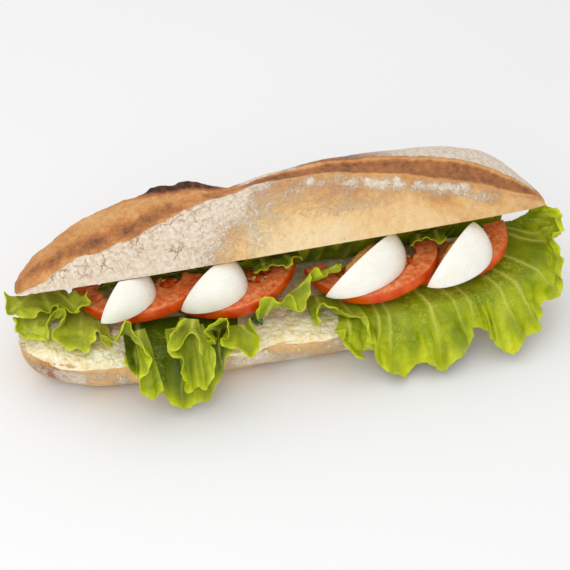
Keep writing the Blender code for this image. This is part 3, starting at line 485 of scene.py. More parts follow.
def meander(leaf, points, u, grown):
    """Deep folds that swing out and back and lean over sideways, growing toward the rim."""
    count, depth, overhang, start = leaf["folds"]
    turn = 2 * math.pi * (count * u + start + 0.08 * np.sin(7.0 * u))
    along = np.gradient(points, axis=0)
    along /= np.linalg.norm(along, axis=-1, keepdims=True) + 1e-9
    share = grown[..., None] ** 1.3
    ends = np.minimum(1.0, np.minimum(u, 1 - u) / 0.08)[:, None, None]
    swing = np.sin(turn)[:, None, None] * depth
    lean = np.sin(2 * turn)[:, None, None] * overhang * ends
    return (sheet_normals(points) * swing + along * lean) * share


def sheet_normals(points):
    """Unit normal at each point of a grid."""
    across = np.gradient(points, axis=0)
    along = np.gradient(points, axis=1)
    normal = np.cross(across, along)
    normal /= np.linalg.norm(normal, axis=-1, keepdims=True) + 1e-9
    return normal


def loaf_distance(points, width, drop, section, cut):
    """Rough distance outside the lower loaf or a layer shaped like it."""
    x, y, z = points[..., 0], points[..., 1], points[..., 2]
    w = np.maximum(width(x), 0.5)
    below = np.maximum(cut - z, 0)
    shape = np.abs(y / w) ** section + np.abs(below / drop) ** section
    side = (shape ** (1 / section) - 1) * np.minimum(w, 40)
    end = np.abs(x) - HALF_LENGTH
    return np.maximum(np.maximum(side, z - cut), end)


def base_distance(points):
    """Rough distance outside the lower bread."""
    return loaf_distance(base_local(points), lambda x: plan_width(x, HALF_LENGTH, BASE_HALF_WIDTH + 0.6),
                         BASE_DROP, BASE_SECTION, BASE_CUT)


def spread_distance(points):
    """Rough distance outside the spread."""
    local = base_local(points)
    x, y, z = local[..., 0], local[..., 1], local[..., 2]
    w = np.maximum(plan_width(x, SPREAD_HALF_LENGTH, SPREAD_HALF_WIDTH + 0.8), 0.5)
    side = np.abs(y) - w
    top = z - (SPREAD_TOP + 1.1)
    outside = np.hypot(np.maximum(side, 0), np.maximum(top, 0))
    return np.where((side > 0) & (top > 0), outside, np.maximum(side, top))


def top_distance(points):
    """Rough distance outside the upper bread."""
    local = (points - np.array(TOP_CENTRE)) @ TOP_TURN
    x, y, z = local[..., 0], local[..., 1], local[..., 2]
    w = np.maximum(plan_width(x, HALF_LENGTH, TOP_HALF_WIDTH + 0.8), 0.5)
    h = profile(x, TOP_STATIONS, TOP_HEIGHTS) + 1.0
    shape = np.abs(y / w) ** TOP_SECTION + np.abs(np.maximum(z, 0) / h) ** TOP_SECTION
    side = (shape ** (1 / TOP_SECTION) - 1) * np.minimum(w, h)
    end = np.abs(x) - HALF_LENGTH
    return np.maximum(np.maximum(side, -z), end)


def tomato_distance(points, slice_data):
    """Rough distance outside a half-slice."""
    frame, middle = tomato_frame(slice_data)
    local = (points - middle) @ frame
    reach = np.hypot(local[..., 0], local[..., 1]) - slice_data[1] * 1.02
    high = np.abs(local[..., 2]) - TOMATO_THICK / 2
    back = local[..., 1] - 0.3
    out = np.maximum(reach, back)
    outside = np.hypot(np.maximum(out, 0), np.maximum(high, 0))
    return np.where((out > 0) & (high > 0), outside, np.maximum(out, high))


def egg_distance(points, index):
    """Rough distance outside an egg wedge."""
    start, along, up, side = egg_frame(index)
    length, half_width, lean = EGGS[index][2:5]
    local = points - start
    s = local @ along - length / 2
    p = local @ up
    q = local @ side
    radius = half_width * egg_radius(np.clip(s / (length / 2), -1, 1))
    over = np.maximum(np.abs(s) - length / 2, 0)
    reach = np.hypot(np.hypot(np.maximum(p, 0), np.maximum(q, 0)), over) - radius
    tip = math.radians(lean)
    face = p * math.sin(tip) - q * math.cos(tip)
    return np.maximum(np.maximum(reach, -p), face)


def solid_distances():
    """One distance function for each thing a leaf has to keep clear of."""
    checks = [base_distance, spread_distance, top_distance]
    for slice_data in TOMATOES:
        checks.append(lambda pts, data=slice_data: tomato_distance(pts, data))
    for index in range(len(EGGS)):
        checks.append(lambda pts, k=index: egg_distance(pts, k))
    return checks


def push_clear(points, checks, clear, rounds=8):
    """Moves points straight out of whatever they are too close to."""
    step = 0.05
    axes = np.eye(3) * step
    for _ in range(rounds):
        for check in checks:
            near = check(points)
            need = near < clear
            if not need.any():
                continue
            close = points[need]
            slope = np.stack([check(close + axis) - check(close - axis) for axis in axes], -1)
            slope = np.where(np.abs(slope) > 4 * step, 0.0, slope)
            slope /= 2 * step
            size = np.linalg.norm(slope, axis=-1, keepdims=True) + 1e-6
            move = (clear - near[need])[..., None] * slope / size / np.maximum(size, 0.7)
            points[need] = close + np.clip(move, -2.0, 2.0)
        points[..., 2] = np.maximum(points[..., 2], LEAF_FLOOR)
    return points


def grid_faces(columns, rows):
    """Triangles of a grid of points, all quads cut the same way."""
    faces = []
    for i in range(columns):
        for j in range(rows):
            a = i * (rows + 1) + j
            b = a + rows + 1
            faces.extend(((a, b, b + 1), (a, b + 1, a + 1)))
    return faces


def mixed_bits(ix, iy, iz, seed):
    """Repeatable value between 0 and 1 for each whole-number place."""
    h = (ix * 374761393 + iy * 668265263 + iz * 1103515245 + seed * 1274126177) & 0xFFFFFFFF
    h = ((h ^ (h >> 13)) * 1274126177) & 0xFFFFFFFF
    return ((h ^ (h >> 16)) & 0xFFFF) / 65535.0


def grain(points, size, seed, octaves=1):
    """Smooth random field, about -1 to 1, with features of one size (mm)."""
    points = np.asarray(points, dtype=float)
    total = 0.0
    weight = 1.0
    for octave in range(octaves):
        q = points / size
        base = np.floor(q).astype(np.int64)
        f = q - base
        f = f * f * (3 - 2 * f)
        value = 0.0
        for corner in range(8):
            step = (corner & 1, (corner >> 1) & 1, corner >> 2)
            share = 1.0
            for axis in range(3):
                share = share * (f[..., axis] if step[axis] else 1 - f[..., axis])
            value = value + share * mixed_bits(base[..., 0] + step[0], base[..., 1] + step[1],
                                               base[..., 2] + step[2], seed + 17 * octave)
        total = total + weight * (2 * value - 1)
        weight *= 0.5
        size *= 0.5
    return total


def flat_grain(s, size, seed, octaves=1):
    """The same random field along a line."""
    s = np.asarray(s, dtype=float)
    return grain(np.stack((s, 0 * s + 0.37 * size, 0 * s), -1), size, seed, octaves)


def cells(points, size, seed, flat=False):
    """Distance (mm) to the nearest and the second nearest of scattered points about size apart."""
    q = np.asarray(points, dtype=float) / size
    base = np.floor(q).astype(np.int64)
    near = np.full(q.shape[:-1], FAR_OFF)
    second = near.copy()
    for dx in (-1, 0, 1):
        for dy in (-1, 0, 1):
            for dz in ((0,) if flat else (-1, 0, 1)):
                cx, cy, cz = base[..., 0] + dx, base[..., 1] + dy, base[..., 2] + dz
                ex = cx + mixed_bits(cx, cy, cz, seed) - q[..., 0]
                ey = cy + mixed_bits(cx, cy, cz, seed + 1) - q[..., 1]
                ez = 0.0 if flat else cz + mixed_bits(cx, cy, cz, seed + 2) - q[..., 2]
                far = np.sqrt(ex ** 2 + ey ** 2 + ez ** 2)
                second = np.minimum(second, np.maximum(near, far))
                near = np.minimum(near, far)
    return near * size, second * size


def bell(value, middle, width):
    """Smooth bump of height 1 round one place."""
    return np.exp(-((value - middle) / width) ** 2)


# Mesh building

def quads(columns, rows, flip=False, first=0):
    """Corner numbers of a grid with one point more than columns and rows each way."""
    i, j = np.meshgrid(np.arange(columns), np.arange(rows), indexing="ij")
    a = first + (i * (rows + 1) + j).ravel()
    b = a + rows + 1
    faces = np.stack((a, b, b + 1, a + 1), -1)
    return faces[:, ::-1] if flip else faces


def ring_quads(count, size):
    """Corner numbers of a tube through closed rings of points."""
    k, j = np.meshgrid(np.arange(count - 1), np.arange(size), indexing="ij")
    a = (k * size + j).ravel()
    b = (k * size + (j + 1) % size).ravel()
    return np.stack((a, a + size, b + size, b), -1)


def end_fans(count, size, first, last):
    """Triangles that close both ends of a tube at two poles."""
    j = np.arange(size)
    loop = (j + 1) % size
    start = np.stack((j, loop, 0 * j + first), -1)
    shift = (count - 1) * size
    end = np.stack((loop + shift, j + shift, 0 * j + last), -1)
    return np.concatenate((start, end))


def piece(name, points, four, three, fields, look, merge=False, crease=50.0):
    """Mesh object from points in millimetres, smooth but for edges sharper than crease."""
    mesh = bpy.data.meshes.new(name)
    points = np.asarray(points, dtype=float).reshape(-1, 3)
    mesh.vertices.add(len(points))
    mesh.vertices.foreach_set("co", (points * MM).astype(np.float32).ravel())
    three = np.zeros((0, 3), int) if three is None else np.asarray(three)
    four = np.zeros((0, 4), int) if four is None else np.asarray(four)
    corners = np.concatenate((four.ravel(), three.ravel())).astype(np.int32)
    starts = np.concatenate((np.arange(len(four)) * 4, four.size + np.arange(len(three)) * 3))
    mesh.loops.add(len(corners))
    mesh.loops.foreach_set("vertex_index", corners)
    mesh.polygons.add(len(starts))
    mesh.polygons.foreach_set("loop_start", starts.astype(np.int32))
    mesh.update(calc_edges=True)
    for key, values in fields.items():
        layer = mesh.attributes.new(key, "FLOAT", "POINT")
        layer.data.foreach_set("value", np.broadcast_to(values, points.shape[:1]).astype(np.float32).ravel())
    if merge:
        work = bmesh.new()
        work.from_mesh(mesh)
        bmesh.ops.remove_doubles(work, verts=work.verts, dist=2e-6)
        bmesh.ops.dissolve_degenerate(work, edges=work.edges, dist=1e-6)
        work.to_mesh(mesh)
        work.free()
    mesh.validate()
    turn_outward(mesh)
    mesh.polygons.foreach_set("use_smooth", np.ones(len(mesh.polygons), dtype=bool))
    mesh.set_sharp_from_angle(angle=math.radians(crease))
    mesh.materials.append(look)
    made = bpy.data.objects.new(name, mesh)
    bpy.context.scene.collection.objects.link(made)
    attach(made, "root")
    return made


def tube_piece(name, rings, poles, fields, look, crease=50.0):
    """Closed mesh object through rings of points, shut at both ends by a pole."""
    count, size = rings.shape[:2]
    points = np.concatenate((rings.reshape(-1, 3), poles))
    fans = end_fans(count, size, count * size, count * size + 1)
    return piece(name, points, ring_quads(count, size), fans, fields, look, crease=crease)


def turn_outward(mesh):
    """Flips the faces when the closed mesh came out inside out."""
    mesh.calc_loop_triangles()
    places = np.zeros(len(mesh.vertices) * 3)
    mesh.vertices.foreach_get("co", places)
    places = places.reshape(-1, 3)
    corners = np.zeros(len(mesh.loop_triangles) * 3, dtype=np.int32)
    mesh.loop_triangles.foreach_get("vertices", corners)
    a, b, c = (places[corners.reshape(-1, 3)[:, k]] for k in range(3))
    if np.einsum("ij,ij->", a, np.cross(b, c)) < 0:
        mesh.flip_normals()


# Materials

WARP_SIZE = 2.2


class Look:
    """A node material with short ways to add its textures."""

    def __init__(self, name):
        self.material = bpy.data.materials.new(name)
        self.material.use_nodes = True
        self.nodes = self.material.node_tree.nodes
        self.links = self.material.node_tree.links
        self.shader = self.nodes["Principled BSDF"]
        self.place = self.nodes.new("ShaderNodeTexCoord").outputs["Object"]

    def put(self, socket, value):
        """Links a socket to another one, or sets its value or colour."""
        if isinstance(value, bpy.types.NodeSocket):
            self.links.new(value, socket)
        elif isinstance(value, tuple) and len(value) == 3 and socket.type == "RGBA":
            socket.default_value = (*value, 1.0)
        else:
            socket.default_value = value

    def add(self, kind, inputs, **settings):
        """New node with its settings made and its inputs linked or set."""
        node = self.nodes.new("ShaderNode" + kind)
        for key, value in settings.items():
            setattr(node, key, value)
        for key, value in inputs.items():
            self.put(node.inputs[key], value)
        return node

    def field(self, name):
        """A value kept at each point of the mesh."""
        return self.add("Attribute", {}, attribute_name=name).outputs["Fac"]

    def noise(self, size, detail, rough=0.55):
        """Cloudy field between 0 and 1 with features of one size (mm)."""
        inputs = {"Scale": 1.0 / (size * MM), "Detail": detail, "Roughness": rough, "Vector": self.place}
        return self.add("TexNoise", inputs).outputs["Fac"]

    def web(self, size, feature="DISTANCE_TO_EDGE", warp=0.0025):
        """Distance to the edge of irregular cells of one size (mm), bent by warp (metres)."""
        twist = self.add("TexNoise", {"Scale": 1.0 / (WARP_SIZE * MM), "Vector": self.place})
        bend = self.add("MixRGB", {"Fac": warp, "Color1": self.place, "Color2": twist.outputs["Color"]},
                        blend_type="ADD")
        cell = self.add("TexVoronoi", {"Scale": 1.0 / (size * MM), "Vector": bend.outputs["Color"]},
                        feature=feature)
        return cell.outputs["Distance"]

    def maths(self, kind, first, second, clamp=False):
        """One sum on two values."""
        return self.add("Math", {0: first, 1: second}, operation=kind, use_clamp=clamp).outputs[0]

    def times(self, first, second):
        """Product of two values."""
        return self.maths("MULTIPLY", first, second)

    def rise(self, value, low, high, to_low=0.0, to_high=1.0):
        """Smooth step of a value from low to high."""
        inputs = {"Value": value, "From Min": low, "From Max": high, "To Min": to_low, "To Max": to_high}
        return self.add("MapRange", inputs, interpolation_type="SMOOTHSTEP").outputs["Result"]

    def mix(self, share, first, second):
        """Blend of two colours."""
        return self.add("MixRGB", {"Fac": share, "Color1": first, "Color2": second}).outputs["Color"]

    def ramp(self, value, stops):
        """Colour read off a row of stops."""
        node = self.nodes.new("ShaderNodeValToRGB")
        bar = node.color_ramp
        while len(bar.elements) > 1:
            bar.elements.remove(bar.elements[-1])
        bar.elements[0].position = stops[0][0]
        bar.elements[0].color = (*stops[0][1], 1.0)
        for place, colour in stops[1:]:
            bar.elements.new(place).color = (*colour, 1.0)
        self.put(node.inputs["Fac"], value)
        return node.outputs["Color"]

    def bump(self, height, depth):
        """Adds relief of the given depth (mm) below any relief added before."""
        node = self.nodes.new("ShaderNodeBump")
        node.inputs["Distance"].default_value = depth * MM
        self.put(node.inputs["Height"], height)
        socket = self.shader.inputs["Normal"]
        if socket.is_linked:
            self.links.new(socket.links[0].from_socket, node.inputs["Normal"])
        self.links.new(node.outputs["Normal"], socket)

    def finish(self, colour, roughness, soft=0.0, soft_radius=(1.0, 0.5, 0.25), soft_depth=1.0, gloss=0.5):
        """Sets the surface, with the share, colour and depth (mm) of light let in, and gives the material."""
        self.put(self.shader.inputs["Base Color"], colour)
        self.put(self.shader.inputs["Roughness"], roughness)
        self.shader.inputs["Specular IOR Level"].default_value = gloss
        self.shader.inputs["Subsurface Weight"].default_value = soft
        self.shader.inputs["Subsurface Radius"].default_value = soft_radius
        self.shader.inputs["Subsurface Scale"].default_value = soft_depth * MM
        return self.material


def shade(red, green, blue):
    """Linear colour from the 0 to 255 values a screen shows."""
    out = []
    for level in (red, green, blue):
        level = level / 255.0
        out.append(level / 12.92 if level <= 0.04045 else ((level + 0.055) / 1.055) ** 2.4)
    return tuple(out)


def bread_look():
    """Baked crust with flour and fine cracks, and pale crumb on the cut."""
    look = Look("baked_crust")
    bake, flour, crack, crumb = (look.field(key) for key in ("bake", "flour", "crack", "crumb"))
    broad = look.noise(16.0, 3.0)
    middle = look.noise(3.4, 4.0, 0.6)
    fine = look.noise(0.55, 3.0, 0.7)
    pore = look.noise(1.6, 2.0, 0.5)
    tone = look.maths("ADD", bake, look.rise(middle, 0.25, 0.75, -0.07, 0.07))
    tone = look.maths("ADD", tone, look.rise(broad, 0.3, 0.7, -0.05, 0.05))
    tone = look.maths("ADD", tone, look.rise(fine, 0.3, 0.7, -0.08, 0.08), clamp=True)
    colour = look.ramp(tone, ((0.0, shade(246, 222, 178)), (0.22, shade(238, 202, 146)),
                              (0.42, shade(226, 176, 114)), (0.58, shade(206, 142, 82)),
                              (0.68, shade(184, 118, 64)), (0.78, shade(156, 102, 64)),
                              (0.90, shade(110, 64, 36)),
                              (1.0, shade(46, 22, 12))))
    threshold = look.rise(flour, 0.0, 1.0, 0.74, 0.28)
    dust = look.maths("ADD", look.times(fine, 0.78), look.times(middle, 0.22))
    powder = look.rise(dust, look.maths("SUBTRACT", threshold, 0.045), look.maths("ADD", threshold, 0.05))
    clump = look.noise(2.2, 3.0, 0.6)
    white = look.mix(look.rise(clump, 0.35, 0.65), shade(220, 206, 186), shade(242, 232, 216))
    colour = look.mix(look.times(powder, 0.86), colour, white)
    small_web = look.rise(look.web(3.0, warp=0.0030), 0.01, 0.07, 0.75, 0.0)
    large_web = look.rise(look.web(7.5, warp=0.0050), 0.01, 0.050, 1.0, 0.0)
    break_up = look.rise(look.noise(4.5, 3.0), 0.46, 0.62)
    part_gone = look.rise(look.noise(6.0, 3.0), 0.36, 0.50)
    lines = look.maths("MAXIMUM", look.times(large_web, part_gone),
                       look.times(small_web, break_up))
    lines = look.times(lines, crack)
    colour = look.mix(look.times(lines, 0.72), colour, shade(150, 104, 68))
    inside = look.mix(look.rise(pore, 0.36, 0.5), shade(205, 170, 118), shade(244, 226, 188))
    colour = look.mix(crumb, colour, inside)
    rough = look.rise(bake, 0.5, 0.9, 0.82, 0.55)
    rough = look.rise(powder, 0.0, 1.0, rough, 0.95)
    look.bump(look.times(crumb, pore), 0.8)
    look.bump(lines, -0.22)
    look.bump(powder, 0.10)
    look.bump(fine, 0.34)
    look.bump(middle, 0.45)
    return look.finish(colour, rough, soft=0.06, gloss=0.3)


def leaf_look():
    """Yellow-green leaf, paler at the rim and along its veins, with painted shade toward the root, in fold
    hollows and over shaded leaves, and painted highlight on fold crests; paler single leaves are partly
    painted light.
    """
    look = Look("salad_leaf")
    rim, vein, deep, tone, painted_fold_shading, net, painted_shade = (
        look.field(key) for key in ("rim", "vein", "deep", "tone", "painted_fold_shading", "net", "shade"))
    patch = look.noise(9.0, 3.0, 0.55)
    fine = look.noise(1.3, 3.0, 0.6)
    colour = look.mix(look.rise(patch, 0.3, 0.7), shade(136, 154, 2), shade(180, 192, 6))
    # Painted shade: darker toward the root, where the leaf lies under the bread.
    colour = look.mix(look.times(deep, 0.85), colour, shade(84, 100, 1))
    # Painted shade in the hollows of the folds and painted highlight on their crests.
    colour = look.mix(look.rise(painted_fold_shading, 0.5, 0.1, 0.0, 0.6), colour, shade(96, 116, 1))
    colour = look.mix(look.rise(painted_fold_shading, 0.55, 0.95, 0.0, 0.5), colour, shade(200, 208, 14))
    colour = look.mix(look.rise(rim, 0.25, 1.0), colour, shade(216, 222, 36))
    # Paler tone, a real leaf colour; on leaves 1 and 2 it is partly painted light.
    colour = look.mix(look.times(tone, 0.6), colour, shade(220, 226, 90))
    # Painted shade over single leaves in the shade of the bread and of other leaves, all but their rims.
    colour = look.mix(look.times(painted_shade, 0.85), colour, shade(62, 84, 1))
    line = look.rise(look.web(6.5, warp=0.0060), 0.0, 0.05, 1.0, 0.0)
    colour = look.mix(look.times(line, net), colour, shade(214, 218, 84))
    colour = look.mix(look.times(vein, 0.75), colour, shade(216, 218, 92))
    colour = look.mix(look.rise(fine, 0.35, 0.7, 0.0, 0.15), colour, shade(110, 130, 1))
    rough = look.rise(fine, 0.3, 0.7, 0.34, 0.48)
    look.bump(fine, 0.05)
    look.bump(line, -0.12)
    look.bump(look.noise(3.2, 2.0, 0.5), 0.2)
    look.shader.inputs["Coat Weight"].default_value = 0.04
    look.shader.inputs["Coat Roughness"].default_value = 0.25
    return look.finish(colour, rough, soft=0.3, soft_radius=(0.8, 1.0, 0.05), soft_depth=1.0, gloss=0.22)


def egg_white_look():
    """Smooth white, yellower where it was cut."""
    look = Look("boiled_egg_white")
    cut = look.field("cut")
    cloud = look.noise(6.0, 3.0)
    colour = look.mix(look.rise(cloud, 0.3, 0.7), shade(246, 242, 229), shade(251, 248, 238))
    face = look.mix(look.noise(1.4, 3.0), shade(226, 200, 140), shade(240, 226, 188))
    colour = look.mix(cut, colour, face)
    rough = look.rise(look.noise(1.5, 3.0), 0.3, 0.7, 0.24, 0.36)
    look.bump(look.noise(2.4, 3.0, 0.5), 0.06)
    return look.finish(colour, rough, soft=0.35, soft_radius=(1.0, 0.85, 0.6), soft_depth=2.5, gloss=0.45)


def yolk_look():
    """Dry crumbly yolk."""
    look = Look("crumbly_yolk")
    grit = look.noise(1.0, 4.0, 0.65)
    colour = look.mix(look.rise(grit, 0.3, 0.7), shade(176, 118, 44), shade(226, 174, 92))
    colour = look.mix(look.rise(look.noise(3.5, 2.0), 0.45, 0.75), colour, shade(198, 142, 60))
    look.bump(grit, 0.5)
    look.bump(look.web(1.6, "F1"), 0.5)
    return look.finish(colour, 0.75, soft=0.12, soft_radius=(1.0, 0.6, 0.2), soft_depth=1.0, gloss=0.3)


def tomato_look():
    """Streaky flesh inside a glossy rind."""
    look = Look("tomato_flesh")
    skin_share = look.field("skin")
    streak = look.noise(2.4, 4.0, 0.6)
    fine = look.noise(0.8, 3.0, 0.6)
    flesh = look.mix(look.rise(streak, 0.3, 0.7), shade(206, 78, 24), shade(232, 132, 70))
    flesh = look.mix(look.rise(look.noise(3.2, 4.0, 0.6), 0.46, 0.66, 0.0, 0.6), flesh, shade(240, 172, 120))
    flesh = look.mix(look.rise(fine, 0.5, 0.75, 0.0, 0.35), flesh, shade(242, 166, 112))
    rind = look.mix(look.rise(look.noise(9.0, 2.0), 0.3, 0.7), shade(204, 60, 0), shade(222, 92, 4))
    colour = look.mix(skin_share, flesh, rind)
    rough = look.rise(skin_share, 0.0, 1.0, 0.3, 0.24)
    look.bump(fine, 0.1)
    look.bump(look.times(streak, look.maths("SUBTRACT", 1.0, skin_share)), 0.35)
    look.shader.inputs["Coat Weight"].default_value = 0.12
    look.shader.inputs["Coat Roughness"].default_value = 0.12
    return look.finish(colour, rough, soft=0.2, soft_radius=(1.0, 0.3, 0.08), soft_depth=1.6, gloss=0.3)


def pulp_look():
    """Wet jelly of the tomato pockets."""
    look = Look("tomato_pulp")
    cloud = look.noise(2.6, 3.0)
    colour = look.mix(look.rise(cloud, 0.3, 0.7), shade(176, 40, 8), shade(232, 112, 40))
    look.bump(look.noise(1.8, 2.0), 0.5)
    return look.finish(colour, 0.12, soft=0.5, soft_radius=(1.0, 0.25, 0.1), soft_depth=2.0, gloss=0.6)


def seed_look():
    """Pale tomato seeds."""
    look = Look("tomato_seed")
    colour = look.mix(look.rise(look.noise(0.9, 2.0), 0.3, 0.7), shade(206, 150, 78), shade(234, 192, 120))
    look.bump(look.noise(0.4, 2.0), 0.08)
    return look.finish(colour, 0.25, soft=0.3, soft_depth=0.8)


def spread_look():
    """Creamy spread with small darker bits."""
    look = Look("creamy_spread")
    bit = look.field("bit")
    cloud = look.noise(5.0, 4.0, 0.6)
    fine = look.noise(1.1, 3.0, 0.6)
    colour = look.mix(look.rise(cloud, 0.3, 0.7), shade(250, 232, 184), shade(254, 246, 220))
    colour = look.mix(look.times(bit, 0.7), colour, shade(232, 200, 120))
    colour = look.mix(look.rise(look.noise(9.0, 2.0), 0.55, 0.75, 0.0, 0.5), colour, shade(226, 202, 126))
    rough = look.rise(fine, 0.3, 0.7, 0.28, 0.5)
    look.bump(fine, 0.3)
    look.bump(look.noise(2.4, 3.0, 0.55), 0.8)
    return look.finish(colour, rough, soft=0.25, soft_radius=(1.0, 0.85, 0.5), soft_depth=1.6, gloss=0.45)


def rib_look():
    look = Look("pale_leaf_rib")
    streak = look.noise(1.5, 3.0, 0.55)
    colour = look.mix(look.rise(streak, 0.3, 0.7), shade(222, 220, 150), shade(240, 238, 196))
    look.bump(streak, 0.2)
    return look.finish(colour, 0.35, soft=0.35, soft_radius=(0.9, 1.0, 0.4), soft_depth=1.2)


def herb_look():
    look = Look("dark_herb")
    streak = look.noise(1.6, 3.0, 0.55)
    colour = look.mix(look.rise(streak, 0.3, 0.7), shade(38, 84, 10), shade(96, 140, 40))
    look.bump(streak, 0.3)
    return look.finish(colour, 0.35, soft=0.2, soft_radius=(0.5, 1.0, 0.1), soft_depth=0.8)


def floor_look():
    look = Look("pale_ground")
    cloud = look.noise(400.0, 2.0)
    colour = look.mix(cloud, (0.88, 0.885, 0.895), (0.90, 0.905, 0.915))
    return look.finish(colour, 0.55, gloss=0.25)


# Bread

BLOTCH_STATIONS = (-130, -110, -88, -71, -58, -36)
BLOTCH_LINE = (0.22, 0.22, 0.23, 0.27, 0.32, 0.38)
DUST_STATIONS = (0, 9, 29, 49, 70, 91, 108, 130)
DUST_LINE = (0.30, 0.28, 0.24, 0.19, 0.16, 0.12, 0.08, 0.06)


def top_fields(x, a, points):
    """Baking, flour, cracks and crumb of the upper crust."""
    jag = grain(points, 5.0, 31, 2)
    edge = profile(x, SKIN_STATIONS, SKIN_EDGE) + 0.012 * jag
    left = 1 - smooth_step(-34, -12, x)
    above = smooth_step(-0.008, 0.012, a - edge) * left
    upper = profile(x, BAND_STATIONS, BAND_UPPER) + 0.006 * jag
    lower = profile(x, BAND_STATIONS, BAND_LOWER) + 0.006 * jag
    along = smooth_step(-34, -8, x) * (1 - smooth_step(134, 146, x))
    band = smooth_step(-0.012, 0.012, a - lower) * (1 - smooth_step(-0.012, 0.012, a - upper)) * along
    crest = smooth_step(0.0, 0.03, a - upper) * along * (1 - smooth_step(0.62, 0.8, a))
    back = smooth_step(0.55, 0.75, a)
    patch = grain(points, 16.0, 32, 3)
    small = grain(points, 5.0, 33, 3)

    bake = 0.41 + 0.08 * patch + 0.10 * bell(a, lower - 0.06, 0.08) * along
    pale_edge = (1 - smooth_step(0.02, 0.19, a)) * smooth_step(-60, 0, x) * (1 - 0.6 * smooth_step(20, 70, x))
    bake = bake - 0.32 * pale_edge
    blotch = bell(a, profile(x, BLOTCH_STATIONS, BLOTCH_LINE) - 0.012, 0.062)
    blotch = blotch * (0.62 + 0.38 * smooth_step(-0.4, 0.4, small + 0.5 * patch))
    opened = 0.54 + 0.08 * patch + 0.27 * blotch
    bake = bake + (opened - bake) * above
    ear = bell(a, 0.475, 0.030) * np.exp(-((x + 52) / 22) ** 4)
    bake = bake + (0.97 - bake) * np.clip(ear * 1.5, 0, 1)
    bake = bake + (0.78 + 0.03 * patch - bake) * band
    bake = bake + (0.50 - bake) * bell(a, lower - 0.02, 0.018) * along
    bake = bake + (0.50 + 0.12 * patch - bake) * back
    tips = smooth_step(138, 147, np.abs(x))
    bake = bake + (0.66 - bake) * tips * smooth_step(0.04, 0.12, a)

    skin_flour = (1 - above) * (1 - smooth_step(0.5, 0.7, a))
    reach = x - 110 * (a - 0.2) + 9 * patch
    flour = (0.94 - 0.66 * smooth_step(-72, 20, reach)) * skin_flour + 0.07 * small * skin_flour
    skin_flour = skin_flour * (1 - smooth_step(-62, -8, reach))
    centre = bell(x, 8, 50) * bell(a, 0.26, 0.13)
    flour = np.maximum(flour, (0.50 + 0.06 * small) * centre * (1 - band))
    line = bell(a, profile(x, DUST_STATIONS, DUST_LINE) + 0.02 * small, 0.055 + 0.02 * smooth_step(60, 0, x))
    line = line * smooth_step(-20, 16, x) * (1 - smooth_step(100, 140, x))
    flour = np.maximum(flour, (0.60 + 0.16 * small) * line * (1 - band))
    bake = bake + (0.80 - bake) * crest
    flour = np.maximum(flour, (0.38 + 0.38 * smooth_step(20, 90, x)) * crest)
    freckles = along * (1 - band) * smooth_step(0.02, 0.12, a) * (1 - smooth_step(0.3, 0.45, a))
    flour = np.maximum(flour, (0.40 + 0.10 * patch) * freckles)
    flour = np.maximum(flour, 0.5 * back * (0.6 + 0.5 * patch))
    flour = np.maximum(flour, 0.36 * above * smooth_step(-0.1, 0.5, small))
    flour = np.clip(flour * (1 - 0.9 * band) * (1 - np.clip(ear, 0, 1)), 0, 1)

    crack = np.clip(skin_flour * 1.2, 0, 1) * smooth_step(0.01, 0.05, a)
    crack = crack * (0.75 + 0.35 * grain(points, 9.0, 45))
    crack = np.maximum(crack, 0.35 * crest * smooth_step(0.0, 0.5, grain(points, 12.0, 46)))
    return dict(bake=np.clip(bake, 0, 1), flour=flour, crack=crack, crumb=np.zeros_like(x))


def end_poles(reach, height):
    """Points just past the left and the right end of a loaf."""
    return np.array(((-reach, 0, height), (reach, 0, height)))


def calm_ends(x, place):
    """Fades relief out toward the cut edges and the two tips."""
    return smooth_step(0.0, 0.05, place) * (1 - smooth_step(0.95, 1.0, place)) * smooth_step(
        0.5, 5.0, HALF_LENGTH - np.abs(x))


def cut_face(crust, across):
    """Flat face from the back edge to the front edge of a crust, and a fade at both edges."""
    t = np.linspace(0, 1, across + 2)[1:-1]
    back, first = crust[:, -1], crust[:, 0]
    face = back[:, None] + (first - back)[:, None] * t[None, :, None]
    return face, smooth_step(0, 0.06, t), 1 - smooth_step(0.94, 1, t)


def crust_piece(name, rings, poles, fields, face, look):
    """Closed crust with its fields carried on over the cut face and the poles."""
    full = {}
    for key, values in fields.items():
        rest = np.full(face.shape[:2], 1.0 if key == "crumb" else 0.1)
        full[key] = np.concatenate((np.concatenate((values, rest), axis=1).ravel(), (0.5, 0.5)))
    return tube_piece(name, rings, poles, full, look)


